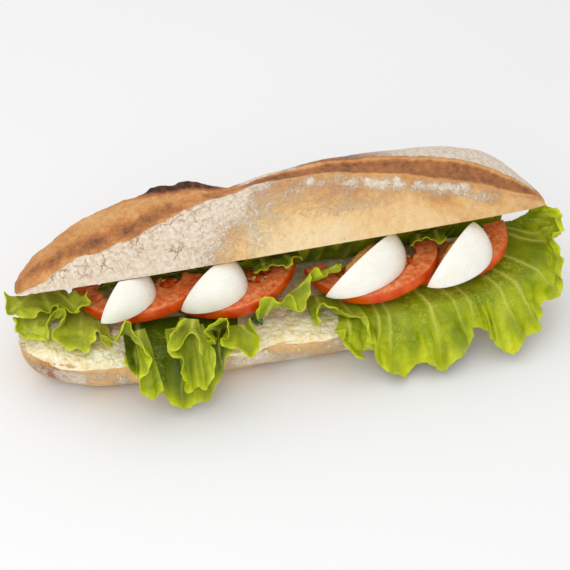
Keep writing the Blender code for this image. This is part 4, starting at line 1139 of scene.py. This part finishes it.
def make_top_crust(look, columns=470, front=104, behind=40, across=24):
    """Upper bread: crust with its slashes, cracks and flour, and the crumb of its cut face."""
    a = np.concatenate((np.linspace(0, 0.56, front, endpoint=False), np.linspace(0.56, 1, behind)))
    xs = end_spacing(columns, HALF_LENGTH - 0.6)
    x, place = np.meshgrid(xs, a, indexing="ij")
    local = top_surface(x, place)
    normal = sheet_normals(local)
    middle = local[columns // 2, front // 2]
    if normal[columns // 2, front // 2] @ np.array((0, middle[1], middle[2])) < 0:
        normal = -normal
    fields = top_fields(x, place, local)
    edge = profile(x, SKIN_STATIONS, SKIN_EDGE)
    above = smooth_step(0.0, 0.03, place - edge) * (1 - smooth_step(-34, -12, x))
    out = 0.16 * grain(local, 2.0, 51, 2) + 0.30 * grain(local, 7.0, 52, 2)
    out += above * (0.45 * grain(local * np.array((0.6, 1, 1)), 4.5, 53, 2))
    out += 0.22 * fields["crack"] * grain(local, 4.4, 59, 2)
    out += 0.10 * fields["flour"] * grain(local, 1.2, 54)
    ear = bell(place, 0.475, 0.016) * np.exp(-((x + 52) / 20) ** 4)
    out += ear * (3.3 + 1.1 * flat_grain(x, 5.0, 55, 2))
    local = local + normal * (out * calm_ends(x, place))[..., None]
    ragged = 0.25 * grain(local, 2.2, 56, 2) * (1 - smooth_step(0.0, 0.04, place))
    local[..., 2] = np.maximum(local[..., 2], 0.0)
    local[..., 1] += ragged * np.where(place < 0.5, -1, 1)

    face, after_back, before_front = cut_face(local, across)
    hollow = np.maximum(0.35 + 0.45 * grain(face, 2.4, 57, 2) + 0.3 * grain(face, 7.0, 58), 0)
    face[..., 2] += hollow * after_back * before_front
    rings = top_place(np.concatenate((local, face), axis=1))
    poles = top_place(end_poles(HALF_LENGTH + 0.3, 1.0))
    made = crust_piece("upper_crust", rings, poles, fields, face, look)
    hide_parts("bread_top")


def make_base_crust(look, columns=380, around=92, across=24):
    """Lower bread: floured crust and the crumb of its cut face."""
    a = np.linspace(0, 1, around)
    xs = end_spacing(columns, HALF_LENGTH - 0.6)
    x, place = np.meshgrid(xs, a, indexing="ij")
    surface = base_surface(x, place)
    normal = sheet_normals(surface)
    if normal[columns // 2, around // 8, 1] > 0:
        normal = -normal
    under = smooth_step(0.0, 1.2, surface[..., 2])
    patch = grain(surface, 14.0, 61, 3)
    spot = bell(x, -134, 9) * bell(place, 0.13, 0.13)
    crack = np.clip(spot * 1.3, 0, 1)
    crack = np.maximum(crack, 0.35 * smooth_step(0.35, 0.8, grain(surface, 18.0, 63)))
    out = 0.12 * grain(surface, 1.8, 64, 2) + 0.28 * grain(surface, 8.0, 65, 2)
    surface = surface + normal * (out * calm_ends(x, place) * under)[..., None]
    surface[..., 2] = np.maximum(surface[..., 2], 0.0)
    fields = dict(
        bake=np.clip(0.34 + 0.10 * patch + 0.40 * spot + 0.12 * smooth_step(0.15, 0.5, place), 0, 1),
        flour=np.clip(0.48 + 0.35 * patch - 0.3 * smooth_step(0.0, 0.05, 0.06 - place), 0, 1),
        crack=crack, crumb=np.zeros_like(x))
    face, after_back, before_front = cut_face(surface, across)
    face[..., 2] -= np.maximum(0.2 + 0.4 * grain(face, 2.4, 67, 2), 0) * after_back * before_front
    poles = base_place(end_poles(HALF_LENGTH + 0.3, BASE_CUT - 1.5))
    made = crust_piece("lower_crust", np.concatenate((surface, face), axis=1), poles, fields, face, look)
    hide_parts("bread_bottom")


CHUNK_SIZE = 3.4


def make_filling_spread(look, columns=460, around=120):
    """Lumpy spread that laps a little over the edge of the lower bread."""
    xs = end_spacing(columns, SPREAD_HALF_LENGTH + 1.0)
    t = np.linspace(0, 1, around)
    x, place = np.meshgrid(xs, t, indexing="ij")
    turn = place * math.pi
    cy = -np.sign(np.cos(turn)) * np.abs(np.cos(turn)) ** (2 / 3.0)
    cz = np.abs(np.sin(turn)) ** (2 / 3.2)
    bread = np.maximum(plan_width(x, HALF_LENGTH, BASE_HALF_WIDTH), 0.6)
    reach = 0.9 * flat_grain(x, 14.0, 71, 3) + 0.5 * flat_grain(x, 4.0, 72)
    w = np.maximum(bread - 0.4 + reach * smooth_step(2, 20, bread), 0.6)
    y = w * cy
    droop = np.clip(1.5 + 1.9 * flat_grain(x, 17.0, 73, 2) + 0.9 * flat_grain(x, 5.0, 74), 0.1, 4.4)
    droop = droop * smooth_step(0, 14, SPREAD_HALF_LENGTH - np.abs(x))
    low = BASE_CUT + GAP
    ends = smooth_step(0, 9, SPREAD_HALF_LENGTH + 1.0 - np.abs(x))
    height = (spread_top(x, y) - low) * (0.35 + 0.65 * ends)
    z = low + height * cz
    side = smooth_step(0.78, 1.0, np.abs(y) / w)
    z = z - side * droop * (1 - cz ** 3)
    past_edge = (0.9 + 0.35 * droop) * smooth_step(0, 16, SPREAD_HALF_LENGTH - np.abs(x)) * (1 - 0.5 * cz)
    y = y + np.sign(y) * side * past_edge
    points = np.stack((x, y, z), -1)
    normal = sheet_normals(points)
    if normal[columns // 2, around // 2, 2] < 0:
        normal = -normal
    lump = 0.75 * grain(points, 4.6, 75, 2) + 0.35 * grain(points, 1.9, 76, 2)
    near, second = cells(points, CHUNK_SIZE, 77)
    chunk = smooth_step(0.0, 1.1, second - near)
    cell = np.floor(points / CHUNK_SIZE).astype(np.int64)
    bit = smooth_step(0.55, 0.9, mixed_bits(cell[..., 0], cell[..., 1], cell[..., 2], 78))
    free = smooth_step(0.0, 0.04, place) * (1 - smooth_step(0.96, 1.0, place))
    reachable = 0.45 + 0.55 * smooth_step(0.55, 0.9, np.abs(y) / w)
    points = points + normal * ((lump + 0.55 * chunk - 0.5) * free * reachable)[..., None]
    points = base_place(points)
    poles = base_place(end_poles(SPREAD_HALF_LENGTH + 1.2, low + 0.4))
    fields = dict(bit=np.concatenate(((bit * chunk).ravel(), (0.0, 0.0))))
    made = tube_piece("spread_layer", points, poles, fields, look)
    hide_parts("spread")


# Tomato

RIM_DEPTH = 9.0


def fine_rings(data, seed, around):
    """Sections of a half-slice in its own frame, closely spaced, with the share of skin at each point."""
    a = np.linspace(data[4], data[5], around)
    outer, inner = tomato_outline(data[1], a, seed)
    half = TOMATO_THICK / 2
    flat = np.linspace(0, 1, 12)
    rim = np.array((0.93, 0.965, 0.99, 1.0, 0.99, 0.965, 0.93))
    rim_height = np.array((0.86, 0.62, 0.32, 0.0, -0.32, -0.62, -0.86))
    angle = math.pi * (1 + a)
    edge = outer - 0.14 * RIM_DEPTH
    top_r = inner[:, None] + (edge - inner)[:, None] * flat[None, :]
    rim_r = outer[:, None] - (1 - rim)[None, :] * RIM_DEPTH
    wall = np.linspace(-1, 1, 6)[1:-1]
    wall_r = inner[:, None] + 0 * wall[None, :]
    r = np.concatenate((top_r, rim_r, top_r[:, ::-1], wall_r), axis=1)
    h = np.concatenate((np.ones(12), rim_height, -np.ones(12), wall)) * half
    h = h[None, :] + 0 * r
    x = r * np.cos(angle)[:, None]
    y = r * np.sin(angle)[:, None]
    points = np.stack((x, y, h), -1)
    skin_share = smooth_step(-0.95, -0.55, r - outer[:, None])
    reach = (r - inner[:, None]) / (outer - inner)[:, None]
    return points, skin_share, reach


def make_slice(look, index, around=150):
    """Half-slice of tomato with rippled flesh and a jagged inner edge."""
    data = TOMATOES[index]
    seed = index + 1
    points, skin_share, reach = fine_rings(data, seed, around)
    count, size = points.shape[:2]
    level = np.sign(points[..., 2]) * (np.abs(points[..., 2]) > TOMATO_THICK * 0.45)
    flesh = 1 - skin_share
    shift = 40.0 * index
    place = points + shift
    ripple = 0.30 * grain(place, 3.0, 81, 2) + 0.22 * grain(place * np.array((1, 1, 0.3)), 7.0, 82)
    sunk = 0.35 * bell(reach, 0.62, 0.16) * (0.7 + 0.5 * grain(place, 6.0, 83))
    points[..., 2] += level * (np.minimum(ripple, 0.25) - sunk - 0.1) * flesh
    inner = np.clip(1 - reach / 0.3, 0, 1)
    angle = np.arctan2(points[..., 1], points[..., 0])
    jag = (0.8 * grain(place, 4.0, 84, 2) + 0.3 * grain(place, 1.6, 85)) * inner
    points[..., 0] += np.cos(angle) * jag
    points[..., 1] += np.sin(angle) * jag * (np.abs(points[..., 1]) > 1.5)
    frame_turn, middle = tomato_frame(data)
    points = points.reshape(-1, 3) @ frame_turn.T + middle
    caps = np.concatenate((points[:size].mean(axis=0)[None], points[-size:].mean(axis=0)[None]))
    skin_full = np.concatenate((skin_share.ravel(), (0.0, 0.0)))
    made = tube_piece(f"tomato_slice_{seed}", points.reshape(count, size, 3), caps, dict(skin=skin_full),
                      look, crease=48)
    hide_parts(f"tomato_{seed}")


def ball(rings, sides):
    """Unit ball as points, quads and pole triangles."""
    polar = np.linspace(0, math.pi, rings + 1)[1:-1]
    turn = np.linspace(0, 2 * math.pi, sides, endpoint=False)
    points = np.stack((np.sin(polar)[:, None] * np.cos(turn), np.sin(polar)[:, None] * np.sin(turn),
                       np.cos(polar)[:, None] + 0 * turn), -1).reshape(-1, 3)
    count = len(polar)
    points = np.concatenate((points, ((0, 0, 1.0), (0, 0, -1.0))))
    return points, ring_quads(count, sides), end_fans(count, sides, count * sides, count * sides + 1)


def joined(parts):
    """One set of points and faces from several."""
    points, four, three = [], [], []
    shift = 0
    for p, f, t in parts:
        points.append(p)
        four.append(f + shift)
        three.append(t + shift)
        shift += len(p)
    return np.concatenate(points), np.concatenate(four), np.concatenate(three)


# Pockets of the half-slices that hold pulp: slice, first and last place round it, how full.
PULP = ((0, 0.60, 0.84, 0.9), (1, 0.08, 0.36, 0.8), (1, 0.64, 0.93, 0.85), (2, 0.06, 0.36, 0.9),
        (2, 0.66, 0.90, 0.8), (3, 0.22, 0.37, 0.8), (3, 0.64, 0.94, 0.9))
SEEDS_A_POCKET = 9
PULP_ALONG = 28
PULP_ACROSS = 20


def make_pulp(look, seeds):
    """Pulp and seeds in the pockets of the half-slices."""
    draw = np.random.default_rng(90)
    lumps_parts, seed_parts = [], []
    for number, (index, start, end, full) in enumerate(PULP):
        data = TOMATOES[index]
        frame_turn, middle = tomato_frame(data)
        a = np.linspace(start, end, PULP_ALONG)
        inner = data[1] - TOMATO_WALL * 0.95
        r = np.linspace(inner * (1 - 0.75 * full), inner + 0.2, PULP_ACROSS)
        grid_a, grid_r = np.meshgrid(a, r, indexing="ij")
        angle = math.pi * (1 + grid_a)
        flat = np.stack((grid_r * np.cos(angle), grid_r * np.sin(angle), 0 * angle), -1)
        edge_a = np.sin(math.pi * (grid_a - start) / (end - start))
        edge_r = np.sin(math.pi * np.clip((grid_r - r[0]) / (r[-1] - r[0]), 0, 1) * 0.55 + 0.15)
        dome = np.sqrt(np.clip(edge_a, 0, 1)) * np.clip(edge_r, 0, 1)
        height = dome * (2.3 + 0.9 * grain(flat + 30.0 * number, 4.2, 91, 2))
        top = flat + np.array((0, 0, 1.0)) * (height - 0.6)[..., None]
        low = flat - np.array((0, 0, 1.0)) * (height * 0.7 + 0.65)[..., None]
        body, faces = closed_sheet(top, low)
        lumps_parts.append((body @ frame_turn.T + middle, faces, np.zeros((0, 3), int)))
        for _ in range(SEEDS_A_POCKET):
            i = int(draw.integers(4, PULP_ALONG - 4))
            j = int(draw.integers(4, PULP_ACROSS - 3))
            size = draw.uniform(0.85, 1.15)
            spot = top[i, j] + np.array((0, 0, 0.1))
            unit, four, three = ball(7, 10)
            taper = 1 - 0.35 * unit[:, :1]
            shape = unit * np.array((1.55, 1.0, 0.5)) * size
            shape[:, 1:2] *= taper
            yaw = draw.uniform(0, 2 * math.pi)
            lean = draw.uniform(-0.6, 0.6)
            shape = shape @ rotation(yaw, lean, draw.uniform(-0.5, 0.5)).T + spot
            seed_parts.append((shape @ frame_turn.T + middle, four, three))
    points, four, three = joined(lumps_parts)
    pulp = piece("tomato_pulp", points, four, three, {}, look)
    points, four, three = joined(seed_parts)
    grains = piece("tomato_seeds", points, four, three, {}, seeds)


def thin_body(sheet, half):
    """Closed body that reaches half its thickness to either side of a sheet."""
    normal = sheet_normals(sheet)
    return closed_sheet(sheet + normal * half, sheet - normal * half)


def closed_sheet(upper, lower):
    """Two sheets of points joined all round their border."""
    columns, rows = upper.shape[0] - 1, upper.shape[1] - 1
    count = (columns + 1) * (rows + 1)
    points = np.concatenate((upper.reshape(-1, 3), lower.reshape(-1, 3)))
    border = np.array([i * (rows + 1) for i in range(columns + 1)]
                      + [columns * (rows + 1) + j for j in range(1, rows + 1)]
                      + [i * (rows + 1) + rows for i in range(columns - 1, -1, -1)]
                      + [j for j in range(rows - 1, 0, -1)])
    after = np.roll(border, -1)
    side = np.stack((after, border, border + count, after + count), -1)
    return points, np.concatenate((quads(columns, rows), quads(columns, rows, True, count), side))


# Egg

def wedge_place(index):
    """Frame of an egg wedge and a function that puts points on it."""
    start, along, up, side = egg_frame(index)

    def place(s, r, turn):
        s, r, turn = np.broadcast_arrays(s, r, turn)
        out = up * np.cos(turn)[..., None] + side * np.sin(turn)[..., None]
        points = start + along * s[..., None] + out * r[..., None]
        roof = roof_height(points[..., 0], points[..., 1]) - ROOF_GAP
        points[..., 2] = np.minimum(points[..., 2], roof)
        return points

    return place, up, side


def make_egg(white_look, yolk_material, index, steps=64, turns=30, across=10):
    """White and crumbly yolk of one egg wedge."""
    place, up, side = wedge_place(index)
    length, half_width, lean = EGGS[index][2:5]
    low = math.radians(lean)
    scale = YOLK_RADIUS * half_width / EGG_HALF_WIDTH
    middle = length * YOLK_PLACE
    arc = np.linspace(0.0, math.pi, steps)[:, None]
    t = -np.cos(arc)
    outer_s = (t + 1) * length / 2
    outer_r = half_width * egg_radius(t)
    turn = np.linspace(low, math.pi / 2, turns)[None, :]
    hollow = scale + GAP
    inner_s = middle - hollow * np.cos(arc)
    inner_r = hollow * np.sin(arc)
    k = np.linspace(0, 1, across + 2)[None, 1:-1]
    outer = place(outer_s, outer_r, turn)
    normal_out = up * np.sin(low) - side * np.cos(low)
    base = place(outer_s + (inner_s - outer_s) * k, outer_r + (inner_r - outer_r) * k, math.pi / 2)
    pocket = place(inner_s, inner_r, turn[:, ::-1])
    upright = place(inner_s + (outer_s - inner_s) * k, inner_r + (outer_r - inner_r) * k, low)
    rough = 0.10 * grain(upright, 2.0, 101 + index, 2) - 0.25 * bell(k, 0.5, 0.4)
    upright = upright + normal_out * rough[..., None]
    rings = np.concatenate((outer, base, pocket, upright), axis=1)
    cut = np.concatenate((0 * outer[..., 0], 0 * base[..., 0] + 0.4, 0 * pocket[..., 0] + 1,
                          0.55 + 0.45 * (1 - k) + 0 * upright[..., 0]), axis=1)
    dent = 0.10 * grain(outer, 9.0, 105 + index, 2)
    rings[:, :turns] += (outer - outer.mean(axis=(0, 1)))[..., :] * 0.012 * dent[..., None]
    size = rings.shape[1]
    white = piece(f"egg_wedge_{index + 1}", rings.reshape(-1, 3), ring_quads(steps, size), None,
                  dict(cut=cut.ravel()), white_look, merge=True, crease=40)
    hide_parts(f"egg_white_{index + 1}")

    dome = place(middle - scale * np.cos(arc), scale * np.sin(arc), turn)
    share = np.linspace(1, 0, 16)[None, 1:]
    floor_face = place(middle - scale * np.cos(arc) + 0 * share, scale * np.sin(arc) * share, math.pi / 2)
    share = np.linspace(0, 1, 26)[None, 1:-1]
    face = place(middle - scale * np.cos(arc) + 0 * share, scale * np.sin(arc) * share, low)
    crumble = 0.5 + 0.7 * grain(face, 3.6, 111 + index, 2) + 0.3 * grain(face, 1.2, 115 + index)
    fade = np.sin(arc) ** 0.7 * (1 - share ** 6)
    lift = (YOLK_BULGE[index] + 1.0) * smooth_step(0.0, 0.3, share) * (1 - smooth_step(0.72, 1.0, share))
    lift = lift * smooth_step(0.0, 0.6, np.sin(arc))
    face = face + normal_out * (np.maximum(crumble, -0.5) * fade + lift)[..., None]
    rings = np.concatenate((dome, floor_face, face), axis=1)
    size = rings.shape[1]
    yolk = piece(f"egg_yolk_crumb_{index + 1}", rings.reshape(-1, 3), ring_quads(steps, size), None, {},
                 yolk_material, merge=True, crease=45)
    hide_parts(f"egg_yolk_{index + 1}")


# Leaves

LEAF_DETAIL = 2
LEAF_STEP = 0.85
LEAF_SKIN = 0.7
# How much paler (on leaves 1 and 2 partly painted light), darker from painted shade, more veined and more
# folded single leaves are than the rest.
LEAF_PALE_AND_PAINTED_LIGHT = {"lettuce_1": 0.6, "lettuce_2": 0.8, "lettuce_3": 0.3, "lettuce_5": 0.25, "lettuce_6": 0.3,
             "lettuce_7": 0.3, "lettuce_8": 0.0, "lettuce_12": 0.25, "lettuce_13": 0.2}
LEAF_PAINTED_SHADE = {"lettuce_4": 1.0, "lettuce_9": 0.8, "lettuce_10": 0.8, "lettuce_11": 0.7}
NET_SHARE = {"lettuce_8": 0.6}
BOLD_FOLDS = {"lettuce_8": 1.9, "lettuce_4": 1.6, "lettuce_1": 1.3, "lettuce_2": 1.2}


def resampled(grid, count):
    """Smooth curve through the rows of a grid of points, read at more places."""
    guide = np.concatenate((2 * grid[:1] - grid[1:2], grid, 2 * grid[-1:] - grid[-2:-1]))
    spans = len(grid) - 1
    place = np.linspace(0, spans, count + 1)
    index = np.minimum(place.astype(int), spans - 1)
    f = (place - index)[:, None, None]
    a, b, c, d = (guide[index + k] for k in range(4))
    return 0.5 * (2 * b + (c - a) * f + (2 * a - 5 * b + 4 * c - d) * f ** 2
                  + (3 * b - a - 3 * c + d) * f ** 3)


def running_length(points, axis):
    """Length along one axis of a grid of points, from its start."""
    step = np.linalg.norm(np.diff(points, axis=axis), axis=-1)
    total = np.cumsum(step, axis=axis)
    start = np.zeros_like(np.take(total, [0], axis=axis))
    return np.concatenate((start, total), axis=axis)


def even_field(field, times):
    """Evens out a field of normals over its grid."""
    for _ in range(times):
        for axis in (0, 1):
            out = field.copy()
            low = np.take(field, range(0, field.shape[axis] - 2), axis=axis)
            high = np.take(field, range(2, field.shape[axis]), axis=axis)
            inside = np.take(field, range(1, field.shape[axis] - 1), axis=axis)
            mean = (low + 2 * inside + high) / 4
            if axis == 0:
                out[1:-1] = mean
            else:
                out[:, 1:-1] = mean
            field = out
    return field / (np.linalg.norm(field, axis=-1, keepdims=True) + 1e-9)


def make_leaf(look, name, sheet, number):
    """Frilled leaf with veins, blisters and a toothed rim, round one of the laid sheets."""
    rim = running_length(sheet[:, -1], 0)[-1]
    deep = running_length(sheet, 1)[:, -1].max()
    columns = int(max(40, rim / LEAF_STEP))
    rows = int(max(20, deep / LEAF_STEP))
    points = resampled(sheet, columns)
    points = np.swapaxes(resampled(np.swapaxes(points, 0, 1), rows), 0, 1)
    s = running_length(points[:, -1], 0)
    v = np.linspace(0, 1, rows + 1)[None, :]
    rest = np.clip((v - LIP_PLACE) / (1 - LIP_PLACE), 0, 1) + 0 * s[:, None]
    along = running_length(points, 0)
    along = along - along[len(along) // 2][None, :]
    across = running_length(points, 1)
    place = np.stack((along, across, 0 * along), -1) + 57.0 * number
    normal = even_field(sheet_normals(points), 3)

    seed = 120 + 7 * number
    wave = np.sin(2 * math.pi * (s / 13.0 + 0.9 * flat_grain(s, 23.0, seed)))[:, None]
    finer_wave = np.sin(2 * math.pi * (s / 5.5 + 0.9 * flat_grain(s, 9.0, seed + 1)))[:, None]
    swell = (0.65 + 0.5 * flat_grain(s, 19.0, seed + 2))[:, None]
    bold = BOLD_FOLDS.get(name, 1.0)
    out = 1.4 * bold * wave * swell * rest ** 1.6 + 0.45 * finer_wave * swell * rest ** 6
    out = out + 1.4 * bold * grain(place, 12.0, seed + 12, 2) * smooth_step(0.1, 0.6, rest)

    level = place.copy()
    level[..., 2] = 0
    bent = level + 1.6 * np.stack((grain(level, 5.0, seed + 13), grain(level, 5.0, seed + 14), 0 * along), -1)
    near, second = cells(bent * np.array((1.0, 0.7, 1.0)), 8.0, seed + 3, flat=True)
    gap = second - near
    mains = np.zeros_like(rest)
    width = along[-1] - along[0]
    count = max(2, int(rim / 24))
    for k in range(count):
        centre = (k + 0.5) / count + 0.03 * math.sin(2.3 * k + number)
        line = centre + 0.02 * flat_grain(across, 12.0, seed + 5)
        u = np.linspace(0, 1, columns + 1)[:, None]
        off = (u - line) * width[None, :]
        thick = 1.1 * (1 - 0.72 * v) + 0.25
        mains = np.maximum(mains, np.exp(-(off / thick) ** 2) * (1 - 0.5 * rest))
    blister = smooth_step(0.0, 4.5, gap)
    calm = smooth_step(0.03, 0.2, v) * (1 - 0.55 * rest ** 4)
    patchy = smooth_step(-0.4, 0.5, grain(place, 17.0, seed + 15))
    out = out + (0.42 * blister - 0.2) * calm * patchy + 0.35 * mains * (1 - rest)
    out = out + 0.28 * grain(place, 6.0, seed + 6, 2) * calm
    points = points + normal * out[..., None]

    edge_way = points[:, -1] - points[:, -3]
    edge_way /= np.linalg.norm(edge_way, axis=-1, keepdims=True) + 1e-9
    tooth = 0.75 * flat_grain(s, 3.4, seed + 8) + 0.55 * flat_grain(s, 1.7, seed + 9) - 0.3
    notch = -1.6 * smooth_step(0.45, 0.8, flat_grain(s, 5.2, seed + 10))
    pull = ((tooth + notch)[:, None] * rest ** 9)
    points = points + edge_way[:, None] * pull[..., None]
    points[..., 2] = np.maximum(points[..., 2], 0.7)

    normal = even_field(sheet_normals(points), 1)
    thin = 0.5 * LEAF_SKIN * (1 - 0.62 * rest ** 5)
    swell = 1 + 1.2 * mains * (1 - rest)
    half = normal * (thin * swell)[..., None]
    body, faces = closed_sheet(points + half, points - half)
    vein = np.clip(0.9 * mains, 0, 1) * smooth_step(0.0, 0.5, 1.08 - rest)
    # Painted shade on leaves that lie in the shade of the bread and other leaves, fading out at the rim.
    painted_shade = LEAF_PAINTED_SHADE.get(name, 0.0) * (1 - rest ** 4)
    pale = LEAF_PALE_AND_PAINTED_LIGHT.get(name, 0.0)
    fields = dict(rim=np.clip(0.62 * rest ** 2.6 + 0.30 * rest ** 2 * (0.5 + 0.5 * wave), 0, 1), vein=vein,
                  # Painted shade in fold hollows and painted highlight on fold crests, taken from the relief.
                  painted_fold_shading=np.clip(0.5 + 0.28 * out / bold, 0, 1),
                  net=np.clip(NET_SHARE.get(name, 0.35) * patchy * (1 - 0.8 * rest ** 3), 0, 1),
                  # The deep value is painted shade toward the root, under the bread.
                  deep=np.clip(1.1 * (1 - v) ** 1.2 - 0.2 + 0 * rest, 0, 1), shade=np.clip(painted_shade, 0, 1),
                  # Paleness of the leaf; on leaves 1 and 2 part of it is painted light.
                  tone=np.clip(0.3 * grain(place, 15.0, seed + 11, 2) + pale * (1 - 0.5 * v), 0, 1))
    fields = {key: np.tile(values.ravel(), 2) for key, values in fields.items()}
    made = piece("leaf_" + name.split("_")[1], body, faces, None, fields, look, crease=60)
    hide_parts(name)


# Small loose things

LOOSE_BITS = 26
HERB_PLACE = (-23.5, -18.5, 0.0)
HERB_HALF_THICK = 0.25
RIB_HALF_THICK = 0.55


def make_small_things(spread, herb, rib):
    """Bits of spread on the crust, one herb piece and a curled pale rib end."""
    draw = np.random.default_rng(131)
    parts = []
    for _ in range(LOOSE_BITS):
        x = draw.uniform(-62, -20) if draw.random() < 0.75 else draw.uniform(-120, 20)
        place = draw.uniform(0.02, 0.10)
        spot = base_surface(np.array([x]), np.array([place]))[0]
        unit, four, three = ball(6, 9)
        size = draw.uniform(0.35, 1.0)
        shape = unit * size * draw.uniform(0.7, 1.3, 3)
        shape = shape * (1 + 0.25 * grain(shape + 9.0 * x, 0.8, 132))[:, None]
        parts.append((shape + spot + np.array((0, -0.5 * size, 0.1)), four, three))
    points, four, three = joined(parts)
    bits = piece("spread_bits", points, four, three, dict(bit=0.6), spread)

    u, w = np.meshgrid(np.linspace(0, 1, 40), np.linspace(-1, 1, 22), indexing="ij")
    half = 3.0 * np.sin(math.pi * np.clip(u, 0.04, 0.98)) ** 0.7
    sheet = np.stack((w * half + 0.5 * np.sin(9 * u), -7.5 * u, 31.6 - 3.2 * u ** 2 + 0.9 * np.abs(w) ** 1.5
                      + 0.5 * np.sin(14 * u) * np.abs(w)), -1) + np.array(HERB_PLACE)
    body, faces = thin_body(sheet, HERB_HALF_THICK)
    leaf = piece("herb_piece", body, faces, None, {}, herb, crease=60)

    u, w = np.meshgrid(np.linspace(0, 1, 50), np.linspace(-1, 1, 22), indexing="ij")
    curl = 2.4 * u - 0.3
    spine = np.stack((-22.0 + 9.5 * u, -3.2 - 3.0 * np.sin(curl),
                      41.0 + 4.5 * u + 1.6 * np.sin(curl * 1.3)), -1)
    sheet = spine + np.stack((0.6 * w, -1.8 * w * (0.5 + 0.5 * u),
                              2.6 * w * (1 - 0.35 * u) - 1.2 * w ** 2), -1)
    body, faces = thin_body(sheet, RIB_HALF_THICK)
    end = piece("leaf_rib_end", body, faces, None, {}, rib, crease=60)


# Ground, light and camera

CAMERA_TURN = math.radians(-14.3)
CAMERA_RISE = math.radians(37.0)
CAMERA_LENS = 100.0
CAMERA_FAR = 875.0
SENSOR_WIDTH = 36.0
# Place in the picture, in pixels, of the middle of the rest face, and the side of the picture.
ORIGIN_PIXEL = (290.0, 333.0)
IMAGE_SIDE = 570.0
GROUND_HALF = 4.0
SKY_LIGHT = 0.75
# Lamps: place, aim and size in metres, power in watts, colour.
KEY_LAMP = ((-0.25, 0.30, 0.95), (0.0, 0.0, 0.03), 1.6, 3.0, (1.0, 0.985, 0.96))
FILL_LAMP = ((-0.35, -0.85, 0.75), (0.0, 0.0, 0.04), 0.9, 3.7, (1.0, 0.99, 0.975))


def add_camera():
    """Camera that sees the part from where the photo was taken."""
    turn, rise = CAMERA_TURN, CAMERA_RISE
    back = np.array((math.sin(turn) * math.cos(rise), -math.cos(turn) * math.cos(rise), math.sin(rise)))
    right = np.array((math.cos(turn), math.sin(turn), 0.0))
    up = np.cross(back, right)
    focal = IMAGE_SIDE * CAMERA_LENS / SENSOR_WIDTH
    ox = (ORIGIN_PIXEL[0] - IMAGE_SIDE / 2) / focal * CAMERA_FAR
    oy = -(ORIGIN_PIXEL[1] - IMAGE_SIDE / 2) / focal * CAMERA_FAR
    place = (back * CAMERA_FAR - right * ox - up * oy) * MM
    camera = bpy.data.objects.new("photo_camera", bpy.data.cameras.new("photo_camera"))
    bpy.context.scene.collection.objects.link(camera)
    camera.data.lens = CAMERA_LENS
    camera.data.sensor_width = SENSOR_WIDTH
    camera.location = place
    camera.rotation_mode = "QUATERNION"
    camera.rotation_quaternion = Vector(-back).to_track_quat("-Z", "Y")
    bpy.context.scene.camera = camera


def add_light(name, place, aim, size, power, colour):
    """Round lamp turned toward its aim."""
    light = bpy.data.objects.new(name, bpy.data.lights.new(name, "AREA"))
    bpy.context.scene.collection.objects.link(light)
    light.data.shape = "DISK"
    light.data.size = size
    light.data.energy = power
    light.data.color = colour
    light.location = place
    light.rotation_mode = "QUATERNION"
    light.rotation_quaternion = (Vector(aim) - Vector(place)).to_track_quat("-Z", "Y")


def add_stage():
    """Floor, sky and lamps."""
    half = GROUND_HALF
    corners = [(-half, -half, 0), (half, -half, 0), (half, half, 0), (-half, half, 0)]
    mesh = bpy.data.meshes.new("ground")
    mesh.from_pydata(corners, [], [(0, 1, 2, 3)])
    mesh.materials.append(floor_look())
    ground = bpy.data.objects.new("ground", mesh)
    bpy.context.scene.collection.objects.link(ground)
    world = bpy.data.worlds.new("studio")
    world.use_nodes = True
    world.node_tree.nodes["Background"].inputs["Color"].default_value = (1.0, 1.0, 1.0, 1.0)
    world.node_tree.nodes["Background"].inputs["Strength"].default_value = SKY_LIGHT
    bpy.context.scene.world = world
    add_light("key", *KEY_LAMP)
    add_light("fill", *FILL_LAMP)


def main():
    """Builds every piece."""
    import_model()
    bread = bread_look()
    make_top_crust(bread)
    make_base_crust(bread)
    spread = spread_look()
    make_filling_spread(spread)
    tomato = tomato_look()
    for index in range(len(TOMATOES)):
        make_slice(tomato, index)
    make_pulp(pulp_look(), seed_look())
    white, yolk = egg_white_look(), yolk_look()
    for index in range(len(EGGS)):
        make_egg(white, yolk, index)
    leaf = leaf_look()
    for number, (name, sheet) in enumerate(lay_leaves(LEAF_DETAIL).items()):
        make_leaf(leaf, name, sheet, number)
    make_small_things(spread, herb_look(), rib_look())
    add_stage()
    add_camera()
    bpy.context.scene.view_settings.view_transform = "Standard"


main()
